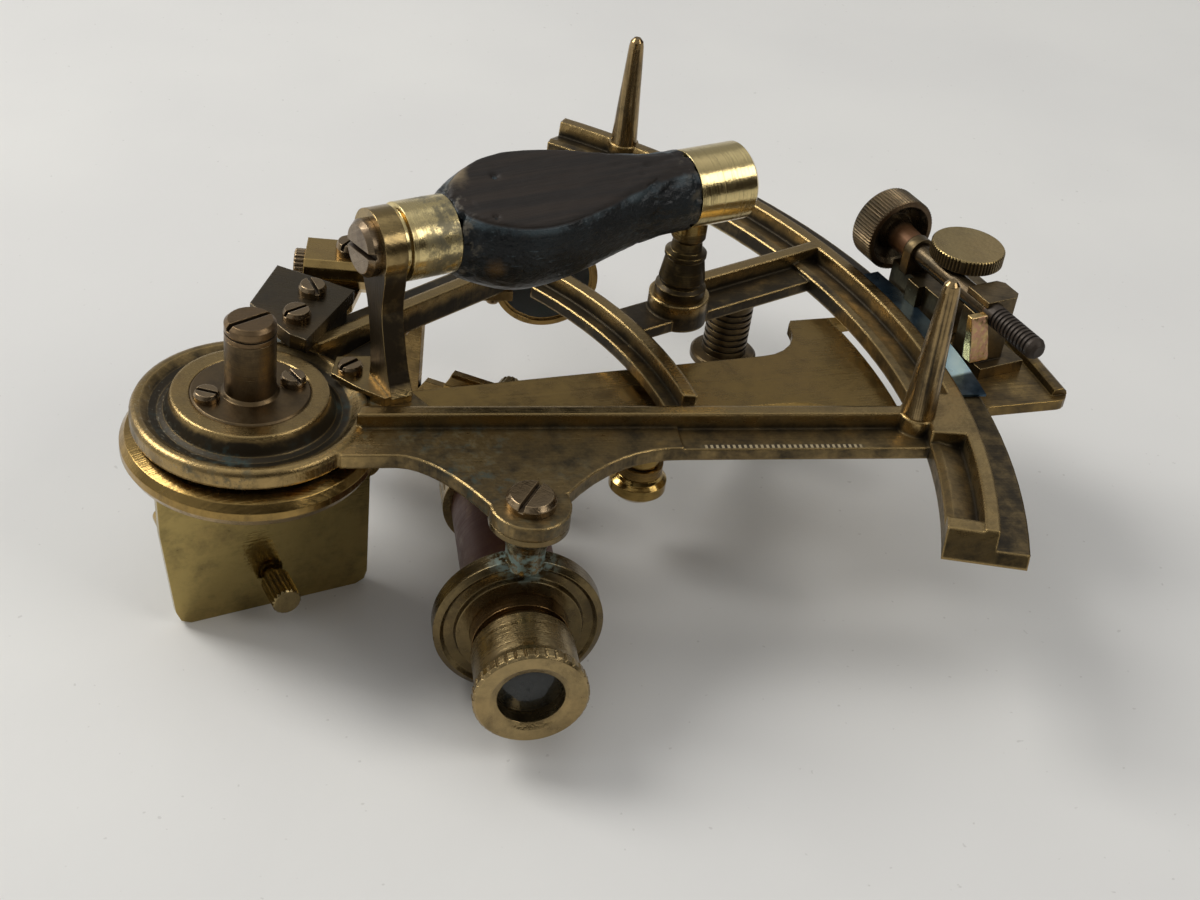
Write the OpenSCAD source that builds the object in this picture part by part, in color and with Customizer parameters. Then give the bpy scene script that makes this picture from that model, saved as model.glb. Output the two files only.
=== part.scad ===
// A brass sextant lying face down: the back of its frame, the handle and the legs point up.
// The origin is on the pivot axis, level with the tops of the frame's ribs.
// +X runs along the middle of the frame to the arc, +Y is the side of the shades.

/* [Frame casting] */
// Radius of the outer face of the arc's rim rib
arc_r = 139.5; // [130:0.5:150]
// Half the angle that the arc spans
arc_half = 38.5; // [34:0.5:42]
// Width of the arc from its rim to its inner edge
arc_w = 9.5; // [8:0.5:13]
// Width of the ledge outside the rim rib
ledge_w = 6.2; // [5.5:0.1:8]
// Thickness of the casting's flat web
web_t = 2.5; // [2:0.1:3.2]
// Height of the ribs above the web
rib_h = 3.5; // [2.5:0.1:5]
// Thickness of a rib
rib_t = 2.7; // [1.8:0.1:3.4]
// Angle of each limb from the middle of the frame
limb_angle = 18.25; // [17:0.25:20]
// Distance of a limb's rib from the line through the pivot
limb_in = 4.9; // [4:0.1:6.5]
// Width of a limb's web
limb_w = 9.3; // [7.5:0.1:11]
// Radius of the hub's dished rim
hub_r = 22; // [21:0.2:24]
// Radius of the curved cross bar's rib
bar_r = 93; // [90:0.5:97]
// Width of the cross bar's web
bar_w = 5.5; // [4:0.1:7]

/* [Pivot] */
// Radius of the pivot post
post_r = 4.75; // [4.2:0.05:5.2]
// Height of the pivot post with its cap
post_h = 15.8; // [13:0.1:20]
// Radius of the post's flange
flange_r = 11.2; // [10.9:0.1:12]
// Radius of the index arm's shaft
shaft_r = 3.2; // [2.4:0.1:3.6]
// Running clearance between a shaft and its bore
run_gap = 0.05; // [0.02:0.01:0.09]

/* [Handle] */
// Height of the handle's axis over the ribs
handle_z = 25; // [23:0.5:30]
// Length of the handle from the bracket's middle to its end
handle_len = 80.3; // [78:0.1:90]
// Radius of the front ferrule
front_ferrule_r = 7.5; // [6.5:0.1:8.5]
// Radius of the rear ferrule
rear_ferrule_r = 8; // [7:0.1:9]
// Greatest radius of the wooden grip
grip_r = 13.3; // [12:0.1:14]
// Least radius of the wooden grip
waist_r = 8.2; // [7.2:0.1:9]
// Radius of the tie rod inside the handle
rod_r = 2.4; // [1.8:0.1:3]
// Height of the near leg
near_leg_h = 30; // [24:0.5:36]
// Height of the far leg
far_leg_h = 26.5; // [22:0.5:34]

/* [Index arm] */
// Angle of the index arm from the middle of the frame, as photographed
arm_angle = -10.2; // [-14:0.1:-7]
// Thickness of the index arm
arm_t = 2.3; // [2:0.1:3.2]
// Gap between the frame and the index arm
arm_gap = 1.4; // [0.8:0.1:1.6]
// Half the arm's width beside the hub
arm_half_in = 6.2; // [5.4:0.1:7]
// Half the arm's width before its wings
arm_half_out = 8.6; // [7.6:0.1:9.6]
// Length of the arm's tip beyond the arc's rim
arm_reach = 28.5; // [26:0.5:32]
// Radius of the round table under the hub
table_r = 24; // [22.5:0.5:25]
// Thickness of the round table
table_t = 6.1; // [5:0.1:7]
// Half the angle of the vernier window
window_half = 8; // [6:0.5:8.5]

/* [Telescope and mirrors] */
// Depth of the line of sight under the ribs
sight_z = -31; // [-33:0.5:-30]
// Direction of the telescope, seen from its eyepiece
sight_angle = 71.5; // [70:0.5:73]
// Radius of the telescope's body tube
tube_r = 9.2; // [8.2:0.1:10]
// Outer radius of the collar ring, which is also the instrument's foot
collar_r = 16; // [15:0.1:16.5]
// Length of the body tube beyond the collar
tube_len = 40; // [34:1:41]
// Radius of the knurled eyepiece cap
eye_r = 10.6; // [9.8:0.1:11.5]
// Thickness of the mirror glass
glass_t = 3; // [2:0.1:3.4]
// Width of the horizon glass
horizon_w = 18; // [15:0.5:19]

/* [Shades and magnifier] */
// Outer radius of an index shade's ring
index_shade_r = 9; // [8:0.1:9.2]
// Outer radius of a horizon shade's ring
horizon_shade_r = 12; // [10.5:0.1:12.2]
// Thickness of a shade
shade_t = 2; // [1.5:0.1:2.4]
// Distance of the magnifier's post from the pivot
post_x = 80; // [78:0.5:82]
// Radius of the magnifier's lens cell
cell_r = 7.5; // [6.5:0.1:8]

/* [Clamp and tangent screw] */
// Height of the tangent screw's axis over the ribs
tangent_z = 7.2; // [7:0.1:9]
// Distance of the tangent screw's axis outside the rim
tangent_out = 9.5; // [8.6:0.1:10]
// Outer radius of the tangent screw's thread
thread_r = 2.38; // [2:0.02:2.5]
// Radius of the tangent screw's knurled head
knob_r = 8.4; // [7.4:0.1:8.6]
// Radius of the clamp's thumb knob
clamp_r = 7.9; // [6.6:0.1:8]

/* [Hidden] */
$fn = 64;
fine = 128;
eps = 0.01;
// Clearance of pieces that are near each other without a fit
seat = 0.3;

// Levels
web_top = -rib_h;
frame_bottom = web_top - web_t;
arm_top = frame_bottom - arm_gap;
arm_bottom = arm_top - arm_t;
table_top = arm_top - 0.5;
table_bottom = table_top - table_t;
rest_z = sight_z - collar_r;

// Places on the frame
arc_in = arc_r - arc_w;
ledge_r = arc_r + ledge_w;
ledge_top = -3.4;
limb_out = limb_in + limb_w;
bar_centre = [-11.2, -10.8];
near_leg_angle = -21.4;
leg_near_at = (arc_in - 1.4) * [cos(near_leg_angle), sin(near_leg_angle)];
leg_far_at = (arc_r - 1.6) * [cos(31.5), sin(31.5)];
handle_at = [26, 3.2];
handle_turn = 2.94;
// Distance of the pillar from the handle's end
pillar_back = 10.3;
pillar_s = handle_len - pillar_back;
pillar_at = handle_at + pillar_s * [cos(handle_turn), sin(handle_turn)];
foot_screw_at = [20.8, 2.9];
collar_at = [36.7, -44.3];
// Distance of the horizon glass from the collar, along the sight
horizon_s = 57.3;

// Light paths, as unit vectors in the plane of the frame
sight = [cos(sight_angle), sin(sight_angle)];
horizon_at = collar_at + horizon_s * sight;
path_angle = atan2(horizon_at[1], horizon_at[0]);
horizon_plane = (path_angle + sight_angle) / 2 + 90;

// Turns a shape laid out along X to a direction, about a point
module place(at, turn, z = 0) {
  translate([at[0], at[1], z]) rotate([0, 0, turn]) children();
}

// A flat slab between two heights
module slab(z1, z2) {
  translate([0, 0, z1]) linear_extrude(z2 - z1) children();
}

// A round bar or hole between two heights
module drill(at, r, z1, z2) {
  translate([at[0], at[1], z1]) cylinder(r = r, h = z2 - z1);
}

// A ring sector about the pivot, in plan
module sector(r1, r2, a1, a2) {
  reach = 1.3 * r2;
  steps = 4;
  intersection() {
    difference() {
      circle(r2, $fn = 2 * fine);
      circle(r1, $fn = 2 * fine);
    }
    polygon([[0, 0],
      for (i = [0:steps]) let (a = a1 + (a2 - a1) * i / steps) reach * [cos(a), sin(a)]]);
  }
}

// A round screw head with a slot across it, its underside at z = 0
module slotted_head(r, h, slot_w, slot_d, turn = 0) {
  shoulder = 0.6 * h;
  crown = 0.84 * r;
  difference() {
    rotate_extrude() polygon([[0, 0], [r, 0], [r, shoulder], [crown, h], [0, h]]);
    rotate([0, 0, turn]) translate([-r - 1, -slot_w / 2, h - slot_d])
      cube([2 * r + 2, slot_w, slot_d + 1]);
  }
}

// A knurled disc, its underside at z = 0
module knurled(r, h, teeth, depth) {
  difference() {
    rotate_extrude() polygon([[0, 0], [r - depth, 0], [r, depth], [r, h - depth],
      [r - depth, h], [0, h]]);
    for (i = [0:teeth - 1]) rotate([0, 0, 360 * i / teeth]) translate([r + 0.4 * depth, 0, -1])
      rotate([0, 0, 45]) translate([-depth, -depth, 0]) cube([2 * depth, 2 * depth, h + 2]);
  }
}

// Frame

hub_bore_r = 7;
flange_t = 1.6;
ring_r = 14.5;
rim_top = frame_bottom + 3.5;
rim_in = hub_r - 1.9;
// The limbs end on the flat of the hub's rim
limb_end_r = hub_r - 1.4;

// The hub is dished between its rim and the raised ring round the post's flange
module hub() {
  rotate_extrude($fn = fine) polygon([[hub_bore_r, frame_bottom], [hub_r, frame_bottom],
    [hub_r, rim_top - 1.1], [hub_r - 0.4, rim_top - 0.3], [hub_r - 1, rim_top], [rim_in, rim_top],
    [rim_in - 1.5, web_top - 0.2], [rim_in - 3.1, web_top - 0.5], [ring_r + 1.4, web_top],
    [ring_r + 0.4, -1.2], [ring_r, 0], [flange_r, 0], [flange_r, -flange_t],
    [hub_bore_r, -flange_t]]);
}

module limb_plan(y1, y2) {
  difference() {
    intersection() {
      translate([0, y1]) square([arc_r, y2 - y1]);
      circle(arc_in + 1, $fn = 2 * fine);
    }
    circle(limb_end_r, $fn = fine);
  }
}

module limb() {
  rotate([0, 0, limb_angle]) {
    slab(frame_bottom, web_top) limb_plan(limb_in, limb_out);
    slab(frame_bottom, 0) limb_plan(limb_in, limb_in + rib_t);
  }
}

// The web that fills the corner where the limbs leave the hub
corner_x = 33;
module corner_web() {
  corner_y = corner_x * tan(limb_angle) + limb_in;
  slab(frame_bottom, web_top) difference() {
    polygon([[0, 0], [corner_x, corner_y], [corner_x - 4, 0], [corner_x, -corner_y]]);
    circle(limb_end_r, $fn = fine);
  }
}

// The ogee lug that carries the telescope's collar. It is drawn in a limb's layout, x along
// the limb and y outward, and mirrored to the near limb.
lug_r = 7.4;
lug_top = web_top + 0.4;
swell_out = 16;
lug_along = collar_at[0] * cos(limb_angle) - collar_at[1] * sin(limb_angle);
lug_out = -collar_at[0] * sin(limb_angle) - collar_at[1] * cos(limb_angle);
module lug() {
  steps = 8;
  left = 15.3;
  right = 24;
  foot_left = lug_along - lug_r - left;
  foot_right = lug_along + lug_r + right;
  slab(frame_bottom, lug_top) mirror([0, 1]) rotate(limb_angle) difference() {
    union() {
      translate([lug_along, lug_out]) circle(lug_r);
      polygon([[0, limb_in], [foot_left - 10, swell_out], [foot_left, swell_out],
        for (i = [1:steps]) let (t = i / steps)
          [foot_left + left * t, swell_out + (lug_out - swell_out) * pow(t, 1.8)],
        for (i = [steps:-1:0]) let (t = i / steps)
          [foot_right - right * t, limb_out + (lug_out - 3 - limb_out) * pow(t, 2.2)],
        [foot_right, limb_in]]);
    }
    circle(limb_end_r, $fn = fine);
  }
}

// The curved bar between the limbs
module bar_ring(r1, r2) {
  far_x = 110;
  far_y = far_x * tan(limb_angle) + limb_in + 1;
  intersection() {
    difference() {
      translate(bar_centre) circle(r2, $fn = 2 * fine);
      translate(bar_centre) circle(r1, $fn = 2 * fine);
    }
    polygon([[20, 0], [far_x, far_y], [far_x, -far_y]]);
  }
}

module cross_bar() {
  slab(frame_bottom, web_top) bar_ring(bar_r - bar_w, bar_r);
  slab(frame_bottom, 0) bar_ring(bar_r - rib_t, bar_r);
}

// The short bar from the cross bar through the pillar's boss to the arc
boss_r = 6.4;
radial_turn = 8;
radial_half = 4.5;
module radial_bar() {
  length = arc_r - pillar_at[0];
  back = pillar_at[0] - bar_centre[0] - bar_r + 4;
  intersection() {
    union() {
      place(pillar_at, radial_turn) {
        slab(frame_bottom, web_top) translate([-back, -radial_half])
          square([length + back, 2 * radial_half]);
        slab(frame_bottom, 0) translate([0, radial_half - rib_t]) square([length, rib_t]);
      }
      drill(pillar_at, boss_r, frame_bottom, 0);
    }
    slab(frame_bottom, 0) difference() {
      circle(arc_r - rib_t + 0.5, $fn = 2 * fine);
      translate(bar_centre) circle(bar_r - 1, $fn = 2 * fine);
    }
  }
}

// The arc is one profile: rim rib, ledge outside it, and a floor that rises to the inner edge.
// An end wall closes it at the near end, which is cut aslant, and the near leg has a flat pad.
lip_t = 1.6;
lip_h = 1.2;
end_wall = 2.9;
pad_half = 2.9;
module arc() {
  rib_in = arc_r - rib_t;
  near = -arc_half;
  difference() {
    union() {
      intersection() {
        rotate_extrude($fn = 2 * fine) polygon([[arc_in, frame_bottom], [ledge_r, frame_bottom],
          [ledge_r, ledge_top], [arc_r, ledge_top], [arc_r, 0], [rib_in, 0], [rib_in - 0.5, web_top],
          [arc_in + lip_t, web_top + lip_h], [arc_in, web_top + lip_h - 0.4]]);
        slab(frame_bottom - 1, 1) sector(arc_in - 1, ledge_r + 1, near, arc_half);
      }
      slab(frame_bottom, -0.5) sector(arc_in, arc_r - 1, near, near + end_wall);
      slab(frame_bottom, 0)
        sector(arc_in, arc_r - 1, near_leg_angle - pad_half, near_leg_angle + pad_half);
    }
    rotate([0, 0, near + 0.3]) translate([arc_in, 0, frame_bottom]) rotate([0, 0, 6])
      rotate([-24, 0, 0]) translate([-10, -30, -10]) cube([60, 30, 30]);
  }
}

near_root_r = 3.4;
far_root_r = 3.15;
boss_margin = 0.4;
leg_pin_r = 2;
collar_screw_r = 2.2;
small_screw_r = 1.1;
under_r = 0.9;
module frame() {
  under = frame_bottom - 1;
  color("#6d5b33") difference() {
    union() {
      hub();
      limb();
      mirror([0, 1, 0]) limb();
      corner_web();
      lug();
      cross_bar();
      radial_bar();
      arc();
      drill(leg_near_at, near_root_r + boss_margin, frame_bottom, 0);
      drill(leg_far_at, far_root_r + boss_margin, frame_bottom, 0);
    }
    for (at = [leg_near_at, leg_far_at, pillar_at]) drill(at, leg_pin_r, under, 1);
    for (side = [-1, 1]) drill([side * sleeve_screw_x, 0], small_screw_r, back_screw_low, 1);
    drill(foot_screw_at, small_screw_r, under, 1);
    drill(collar_at, collar_screw_r, under, 1);
    on_far_limb() drill(shade_base_at[1], base_screw_r, under, 1);
    for (at = under_screw_at) drill(at, under_r, under, web_top - 0.8);
  }
}

// The divided strip under the arc
scale_t = 0.5;
module arc_scale() {
  color("#c9b97e") slab(frame_bottom - scale_t, frame_bottom)
    sector(arc_in + 0.4, arc_r - 1.5, -arc_half + 2, arc_half - 1);
}

// Legs

module leg(height, root_r) {
  neck_r = 1.75;
  rotate_extrude() polygon([[0, frame_bottom + 0.5], [leg_pin_r, frame_bottom + 0.5],
    [leg_pin_r, 0], [root_r, 0], [neck_r, height - 2.2],
    [neck_r - 0.25, height - 0.8], [neck_r - 0.95, height], [0, height]]);
}

module leg_near() { color("#6a5630") translate(leg_near_at) leg(near_leg_h, near_root_r); }
module leg_far() { color("#6a5630") translate(leg_far_at) leg(far_leg_h, far_root_r); }

// Pivot

cap_h = 3.5;
sleeve_top = post_h - cap_h;
cap_screw_r = 1.6;
sleeve_screw_x = 8.3;
flange_top = 0.2;
module pivot_sleeve() {
  bore = shaft_r + run_gap;
  color("#5d4e30") difference() {
    rotate_extrude() polygon([[bore, frame_bottom], [hub_bore_r, frame_bottom],
      [hub_bore_r, -flange_t], [flange_r, -flange_t], [flange_r, -0.2],
      [flange_r - 0.4, flange_top], [post_r + 0.6, flange_top], [post_r, flange_top + 0.6],
      [post_r, sleeve_top], [bore, sleeve_top]]);
    for (side = [-1, 1]) drill([side * sleeve_screw_x, 0], small_screw_r, -flange_t - 1, 1);
  }
}

// The two screws of the sleeve's flange and the one in the bracket's toe are alike
back_screw_low = -5;
back_head_r = 2.45;
module back_screw(at, top, turn) {
  translate([at[0], at[1], top]) slotted_head(back_head_r, 1.7, 0.8, 0.9, turn);
  drill(at, small_screw_r, back_screw_low, top + eps);
}

module back_screws() {
  color("#8a7345") {
    for (side = [-1, 1]) back_screw([side * sleeve_screw_x, 0], flange_top, 30 + 70 * side);
    back_screw(foot_screw_at, toe_low + toe_t, 20);
  }
}

module pivot_shaft() {
  color("#6b5e42") difference() {
    drill([0, 0], shaft_r, table_bottom, sleeve_top);
    drill([0, 0], cap_screw_r, sleeve_top - 6, sleeve_top + 1);
  }
}

module shaft_cap() {
  bevel = 0.7;
  cap_top = cap_h - run_gap;
  color("#5a4c31") translate([0, 0, sleeve_top + run_gap]) {
    difference() {
      rotate_extrude() polygon([[0, 0], [post_r, 0], [post_r, cap_top - bevel],
        [post_r - bevel, cap_top], [0, cap_top]]);
      rotate([0, 0, 14]) translate([-post_r - 1, -0.5, cap_top - 1.3]) cube([2 * post_r + 2, 1, 3]);
      // the dark line between the cap and its washer
      difference() {
        drill([0, 0], post_r + 1, 0.9, 1.35);
        drill([0, 0], post_r - 0.3, 0.5, 2);
      }
    }
    drill([0, 0], cap_screw_r, -5.5, eps);
  }
}

// Handle, laid out along its own axis

module on_handle() {
  translate([handle_at[0], handle_at[1], handle_z]) rotate([0, 0, handle_turn]) children();
}

module along_handle(s) {
  on_handle() translate([s, 0, 0]) rotate([0, 90, 0]) children();
}

head_half = 2.2;
front_end = head_half + 11;
rear_len = 14;
grip_end = handle_len - rear_len;
toe_low = rim_top;
toe_t = 1;
foot_top = toe_low + toe_t;
foot_y = -7.2;
head_r = 7.25;

// Half the width of the bracket's leg at a share of its height, from the head down
function leg_half(share) =
  let (waist = 3, foot_half = 5)
  waist + (head_r - 0.8 - waist) * pow(cos(90 * min(1, 2 * share)), 2)
    + (foot_half - waist) * pow(share, 6);

module handle_bracket() {
  steps = 12;
  drop = handle_z - foot_top;
  lean = foot_y / drop;
  foot_x = handle_at[0];
  color("#7a6739") difference() {
    union() {
      along_handle(-head_half) cylinder(r = head_r, h = 2 * head_half);
      on_handle() translate([head_half, 0, 0]) rotate([90, 0, -90]) linear_extrude(2 * head_half)
        polygon([for (i = [0:steps]) let (d = drop * i / steps) [leg_half(i / steps) - lean * d, -d],
          for (i = [steps:-1:0]) let (d = drop * i / steps) [-leg_half(i / steps) - lean * d, -d]]);
      slab(web_top, foot_top) polygon([[foot_x - 2.5, handle_at[1] + foot_y - 4],
        [foot_x + 3, handle_at[1] + foot_y - 4], [foot_x + 2.6, 5.5], [foot_x - 6, 8],
        [foot_x - 9, 3], [foot_x - 6, -3]]);
    }
    along_handle(-head_half - 1) cylinder(r = rod_r, h = 2 * head_half + 2);
    drill(foot_screw_at, small_screw_r, web_top - 1, foot_top + 1);
    for (side = [0, 1]) mirror([0, side, 0]) rotate([0, 0, limb_angle])
      translate([0, limb_in, web_top - 1]) cube([60, rib_t, rib_h + 1.5]);
    drill([0, 0], hub_r + seat, web_top - 1, toe_low);
  }
}

module handle_screw() {
  color("#7d6a45") along_handle(-head_half) rotate([180, 0, 0]) slotted_head(5.5, 2.4, 1.1, 1.4, 100);
}

module handle_rod() {
  color("#8d8d88") along_handle(-head_half) cylinder(r = rod_r, h = handle_len - 2);
}

module handle_ferrule_front() {
  length = front_end - head_half;
  step = 0.8;
  color("#a5905a") along_handle(head_half) rotate_extrude()
    polygon([[rod_r, 0], [front_ferrule_r - step, 0], [front_ferrule_r - step, step],
      [front_ferrule_r, 1.2], [front_ferrule_r, length], [rod_r, length]]);
}

module handle_ferrule_rear() {
  bevel = 0.8;
  wall = 2.2;
  color("#b39b5c") difference() {
    along_handle(grip_end) rotate_extrude()
      polygon([[0, rear_len], [0, rear_len - wall], [rod_r, rear_len - wall], [rod_r, 0],
        [rear_ferrule_r, 0], [rear_ferrule_r, rear_len - bevel], [rear_ferrule_r - bevel, rear_len]]);
    drill(pillar_at, leg_pin_r, 0, handle_z - rod_r);
  }
}

// The grip swells behind the front ferrule and thins to the rear one
function grip_radius(t) =
  let (peak = 0.3)
  t < peak ? front_ferrule_r + (grip_r - front_ferrule_r) * pow(sin(90 * t / peak), 0.85)
    : waist_r + (grip_r - waist_r) * pow(cos(90 * (t - peak) / (1 - peak)), 2.8);

// It is planed flat on top, and the flat leans to the near side
module handle_grip() {
  run = grip_end - front_end;
  flat_h = 8;
  flat_lean = 12;
  steps = 20;
  color("#2b2623") intersection() {
    along_handle(front_end) difference() {
      rotate_extrude($fn = fine) polygon([[0, 0],
        for (i = [0:steps]) let (t = i / steps) [grip_radius(t), run * t], [0, run]]);
      translate([0, 0, -1]) cylinder(r = rod_r, h = run + 2);
    }
    on_handle() rotate([flat_lean, 0, 0]) translate([front_end - 1, -20, -30])
      cube([run + 2, 40, 30 + flat_h]);
  }
}

// The turned pillar under the rear ferrule, saddled to it
module handle_pillar() {
  top = handle_z - rear_ferrule_r;
  cup_r = 3.6;
  color("#a8904f") {
    difference() {
      translate(pillar_at) rotate_extrude() polygon([[0, frame_bottom + 0.5],
        [leg_pin_r, frame_bottom + 0.5], [leg_pin_r, 0], [5.35, 0], [5.35, 2.2], [4.5, 2.8],
        [4.5, 3.4], [4.9, 4], [4.1, 9], [4.4, 9.4], [4.4, 10.2], [3.3, 10.8], [3.1, top - 4],
        [cup_r, top - 3.2], [cup_r, top + 1.2], [0, top + 1.2]]);
      along_handle(grip_end - 1) cylinder(r = rear_ferrule_r, h = rear_len + 2);
    }
    drill(pillar_at, leg_pin_r, top - 2, top + 3.5);
  }
}

// Telescope, laid out along the line of sight from the collar

module on_sight(d) {
  translate([collar_at[0], collar_at[1], sight_z]) rotate([0, 0, sight_angle])
    translate([d, 0, 0]) rotate([0, 90, 0]) children();
}

collar_half = 2.6;
collar_bore = 6;
module telescope_collar() {
  width = 2 * collar_half;
  ring_top = sight_z + collar_r;
  color("#6f5a30") difference() {
    union() {
      on_sight(-collar_half) rotate_extrude($fn = fine) polygon([[tube_r, 0], [tube_r + 2.6, 0],
        [tube_r + 3, 1], [collar_r - 2, 1], [collar_r - 1.2, 0.3], [collar_r, 1],
        [collar_r, width - 0.8], [collar_r - 0.8, width], [tube_r, width]]);
      translate(collar_at) rotate_extrude() polygon([[0, ring_top - 2], [3.6, ring_top - 2],
        [3.7, ring_top + 2.5], [4.6, frame_bottom - 4], [6.6, frame_bottom - 1.6],
        [lug_r, frame_bottom - 1.2], [lug_r, frame_bottom], [0, frame_bottom]]);
    }
    on_sight(-20) cylinder(r = tube_r, h = 40);
    drill(collar_at, collar_screw_r, frame_bottom - collar_bore, frame_bottom + 1);
  }
}

module collar_screw() {
  color("#76654a") {
    translate([collar_at[0], collar_at[1], lug_top]) slotted_head(4.65, 2.3, 1, 1.3, 40);
    drill(collar_at, collar_screw_r, frame_bottom - collar_bore + 1, lug_top + eps);
  }
}

tube_wall = 0.9;
tube_back = 6;
draw_r = tube_r - tube_wall - run_gap;
module telescope_tube() {
  length = tube_back + tube_len;
  color("#6b3f26") on_sight(-tube_back) rotate_extrude()
    polygon([[tube_r - tube_wall, 0], [tube_r, 0], [tube_r, length], [tube_r - tube_wall, length]]);
}

objective_grip = 5;
lens_r = tube_r - 1;
module objective_cell() {
  outer = tube_r + 1.7;
  length = 8.6;
  lip = 1;
  notches = 24;
  color("#5e4d2c") on_sight(tube_len - objective_grip) difference() {
    rotate_extrude() polygon([[tube_r, 0], [outer, 0], [outer, length - 0.6],
      [outer - 0.6, length], [lens_r - lip, length], [lens_r - lip, length - lip],
      [lens_r, length - lip], [lens_r, objective_grip], [tube_r, objective_grip]]);
    for (i = [1:notches]) rotate([0, 0, 360 * i / notches]) translate([outer, 0, 4])
      rotate([0, 0, 45]) cube([0.5, 0.5, 5], center = true);
  }
}

module objective_lens() {
  color("#b9c9c4") on_sight(tube_len) rotate_extrude()
    polygon([[0, 0.1], [4, 0.3], [lens_r, 0.8], [lens_r, 2.4], [0, 2.4]]);
}

// The eyepiece is the draw tube with its knurled cap and lens
eye_out = 21;
eye_bore = 6.2;
module eyepiece_tube() {
  wall = 1.35;
  length = eye_out + 5;
  color("#7a5230") on_sight(7 - eye_out) rotate_extrude()
    polygon([[draw_r - wall, 0], [draw_r, 0], [draw_r, length], [draw_r - wall, length]]);
}

module eyepiece_cap() {
  body = eye_r - 0.9;
  length = 13.4;
  notches = 36;
  color("#8a7243") on_sight(-eye_out) difference() {
    rotate_extrude($fn = fine) polygon([[eye_bore, 0.6], [eye_bore + 1.4, 0], [eye_r - 0.5, 0],
      [eye_r, 0.5], [eye_r, 2.3], [body + 0.2, 2.8], [body, 4], [body, length - 0.8],
      [body - 0.6, length], [draw_r, length], [draw_r, 7], [eye_bore, 7]]);
    for (i = [1:notches]) rotate([0, 0, 360 * i / notches]) translate([eye_r, 0, 1.4])
      rotate([0, 0, 45]) cube([0.5, 0.5, 4], center = true);
  }
}

module eyepiece_lens() {
  color("#9fb0ab") on_sight(-eye_out) rotate_extrude()
    polygon([[0, 2.6], [3.4, 2.9], [eye_bore, 3.6], [eye_bore, 6], [0, 6]]);
}

// Three small brackets are screwed under the far limb's web: they share this thickness
bracket_t = 2.2;
bracket_low = frame_bottom - bracket_t;

// Horizon mirror, laid out along its own plane: x along the glass, y to its front

function horizon_point(x, y) = horizon_at
  + x * [cos(horizon_plane), sin(horizon_plane)] + y * [-sin(horizon_plane), cos(horizon_plane)];
module on_horizon() { place(horizon_at, horizon_plane) children(); }

plate_t = 1.6;
bezel_t = 0.9;
horizon_half = horizon_w / 2;
horizon_top = -20;
horizon_low = -42;
horizon_back = -glass_t - plate_t;
neck_x1 = 17.5;
neck_x2 = 22;
neck_mid = (neck_x1 + neck_x2) / 2;
adjust_r = 1.2;
horizon_adjust_z = -25.5;
module horizon_bracket() {
  edge = horizon_half + bezel_t;
  clear_half = horizon_half - 1.5;
  color("#6f5a30") on_horizon() difference() {
    union() {
      translate([0, -glass_t, 0]) rotate([90, 0, 0]) linear_extrude(plate_t)
        polygon([[-edge, rest_z + 4], [-edge - 3, rest_z + 2], [-edge - 3, rest_z],
          [neck_x2 - 2, rest_z], [neck_x2, rest_z + 2], [neck_x2, frame_bottom], [neck_x1, frame_bottom],
          [neck_x1, horizon_top - 6], [neck_x1 - 1.5, horizon_top - 3.5],
          [edge + 1.5, horizon_top - 3.5], [edge, horizon_top + 0.5], [-edge, horizon_top + 0.5]]);
      translate([neck_x1, horizon_back, bracket_low])
        cube([neck_x2 - neck_x1, 4.6 - horizon_back, bracket_t]);
    }
    translate([0, 0, horizon_adjust_z]) rotate([90, 0, 0]) cylinder(r = adjust_r + run_gap, h = 20);
    // the clear half of the glass is open to the back
    translate([-clear_half, -10, horizon_low + 1.5]) cube([2 * clear_half, 10, sight_z - horizon_low - 1.5]);
    for (y = horizon_screw_y) drill([neck_mid, y], under_r, bracket_low - 1, frame_bottom + 1);
  }
}

horizon_screw_y = [-1, 2.7];

module horizon_bezel() {
  edge = horizon_half + bezel_t;
  height = horizon_top - horizon_low;
  color("#86703f") on_horizon() difference() {
    translate([-edge, -glass_t, horizon_low - bezel_t]) cube([2 * edge, glass_t + bezel_t, height + bezel_t]);
    translate([-horizon_half, -glass_t - 1, horizon_low]) cube([horizon_w, glass_t + 1, height - bezel_t]);
    translate([1 - horizon_half, -1, horizon_low + 1])
      cube([horizon_w - 2, bezel_t + 2, height - bezel_t - 2]);
  }
}

module horizon_glass() {
  color("#a9bcc0") on_horizon() translate([-horizon_half, -glass_t, horizon_low])
    cube([horizon_w, glass_t, horizon_top - horizon_low - bezel_t]);
}

// A knurled adjusting screw, its tip at z = 0
module adjusting_screw() {
  neck = plate_t + 0.3;
  collar = 2;
  rotate_extrude() polygon([[0, 0], [adjust_r, 0], [adjust_r, neck], [collar, neck + 0.3],
    [collar, neck + 1], [0, neck + 1]]);
  translate([0, 0, neck + 1 - eps]) knurled(2.9, 7.2, 18, 0.35);
}

module horizon_mirror_screw() {
  color("#7a683c") on_horizon() translate([0, -glass_t - seat, horizon_adjust_z]) rotate([90, 0, 0])
    adjusting_screw();
}

// Index shades: a base on the far limb, a bracket under it and two shades on one pin.
// The layout follows the light path: x along it, y outboard.

function path_point(x, y) =
  [x * cos(path_angle) - y * sin(path_angle), x * sin(path_angle) + y * cos(path_angle)];
module on_path(x, y, z) {
  rotate([0, 0, path_angle]) translate([x, y, z]) children();
}

module on_far_limb() { rotate([0, 0, limb_angle]) children(); }

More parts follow.
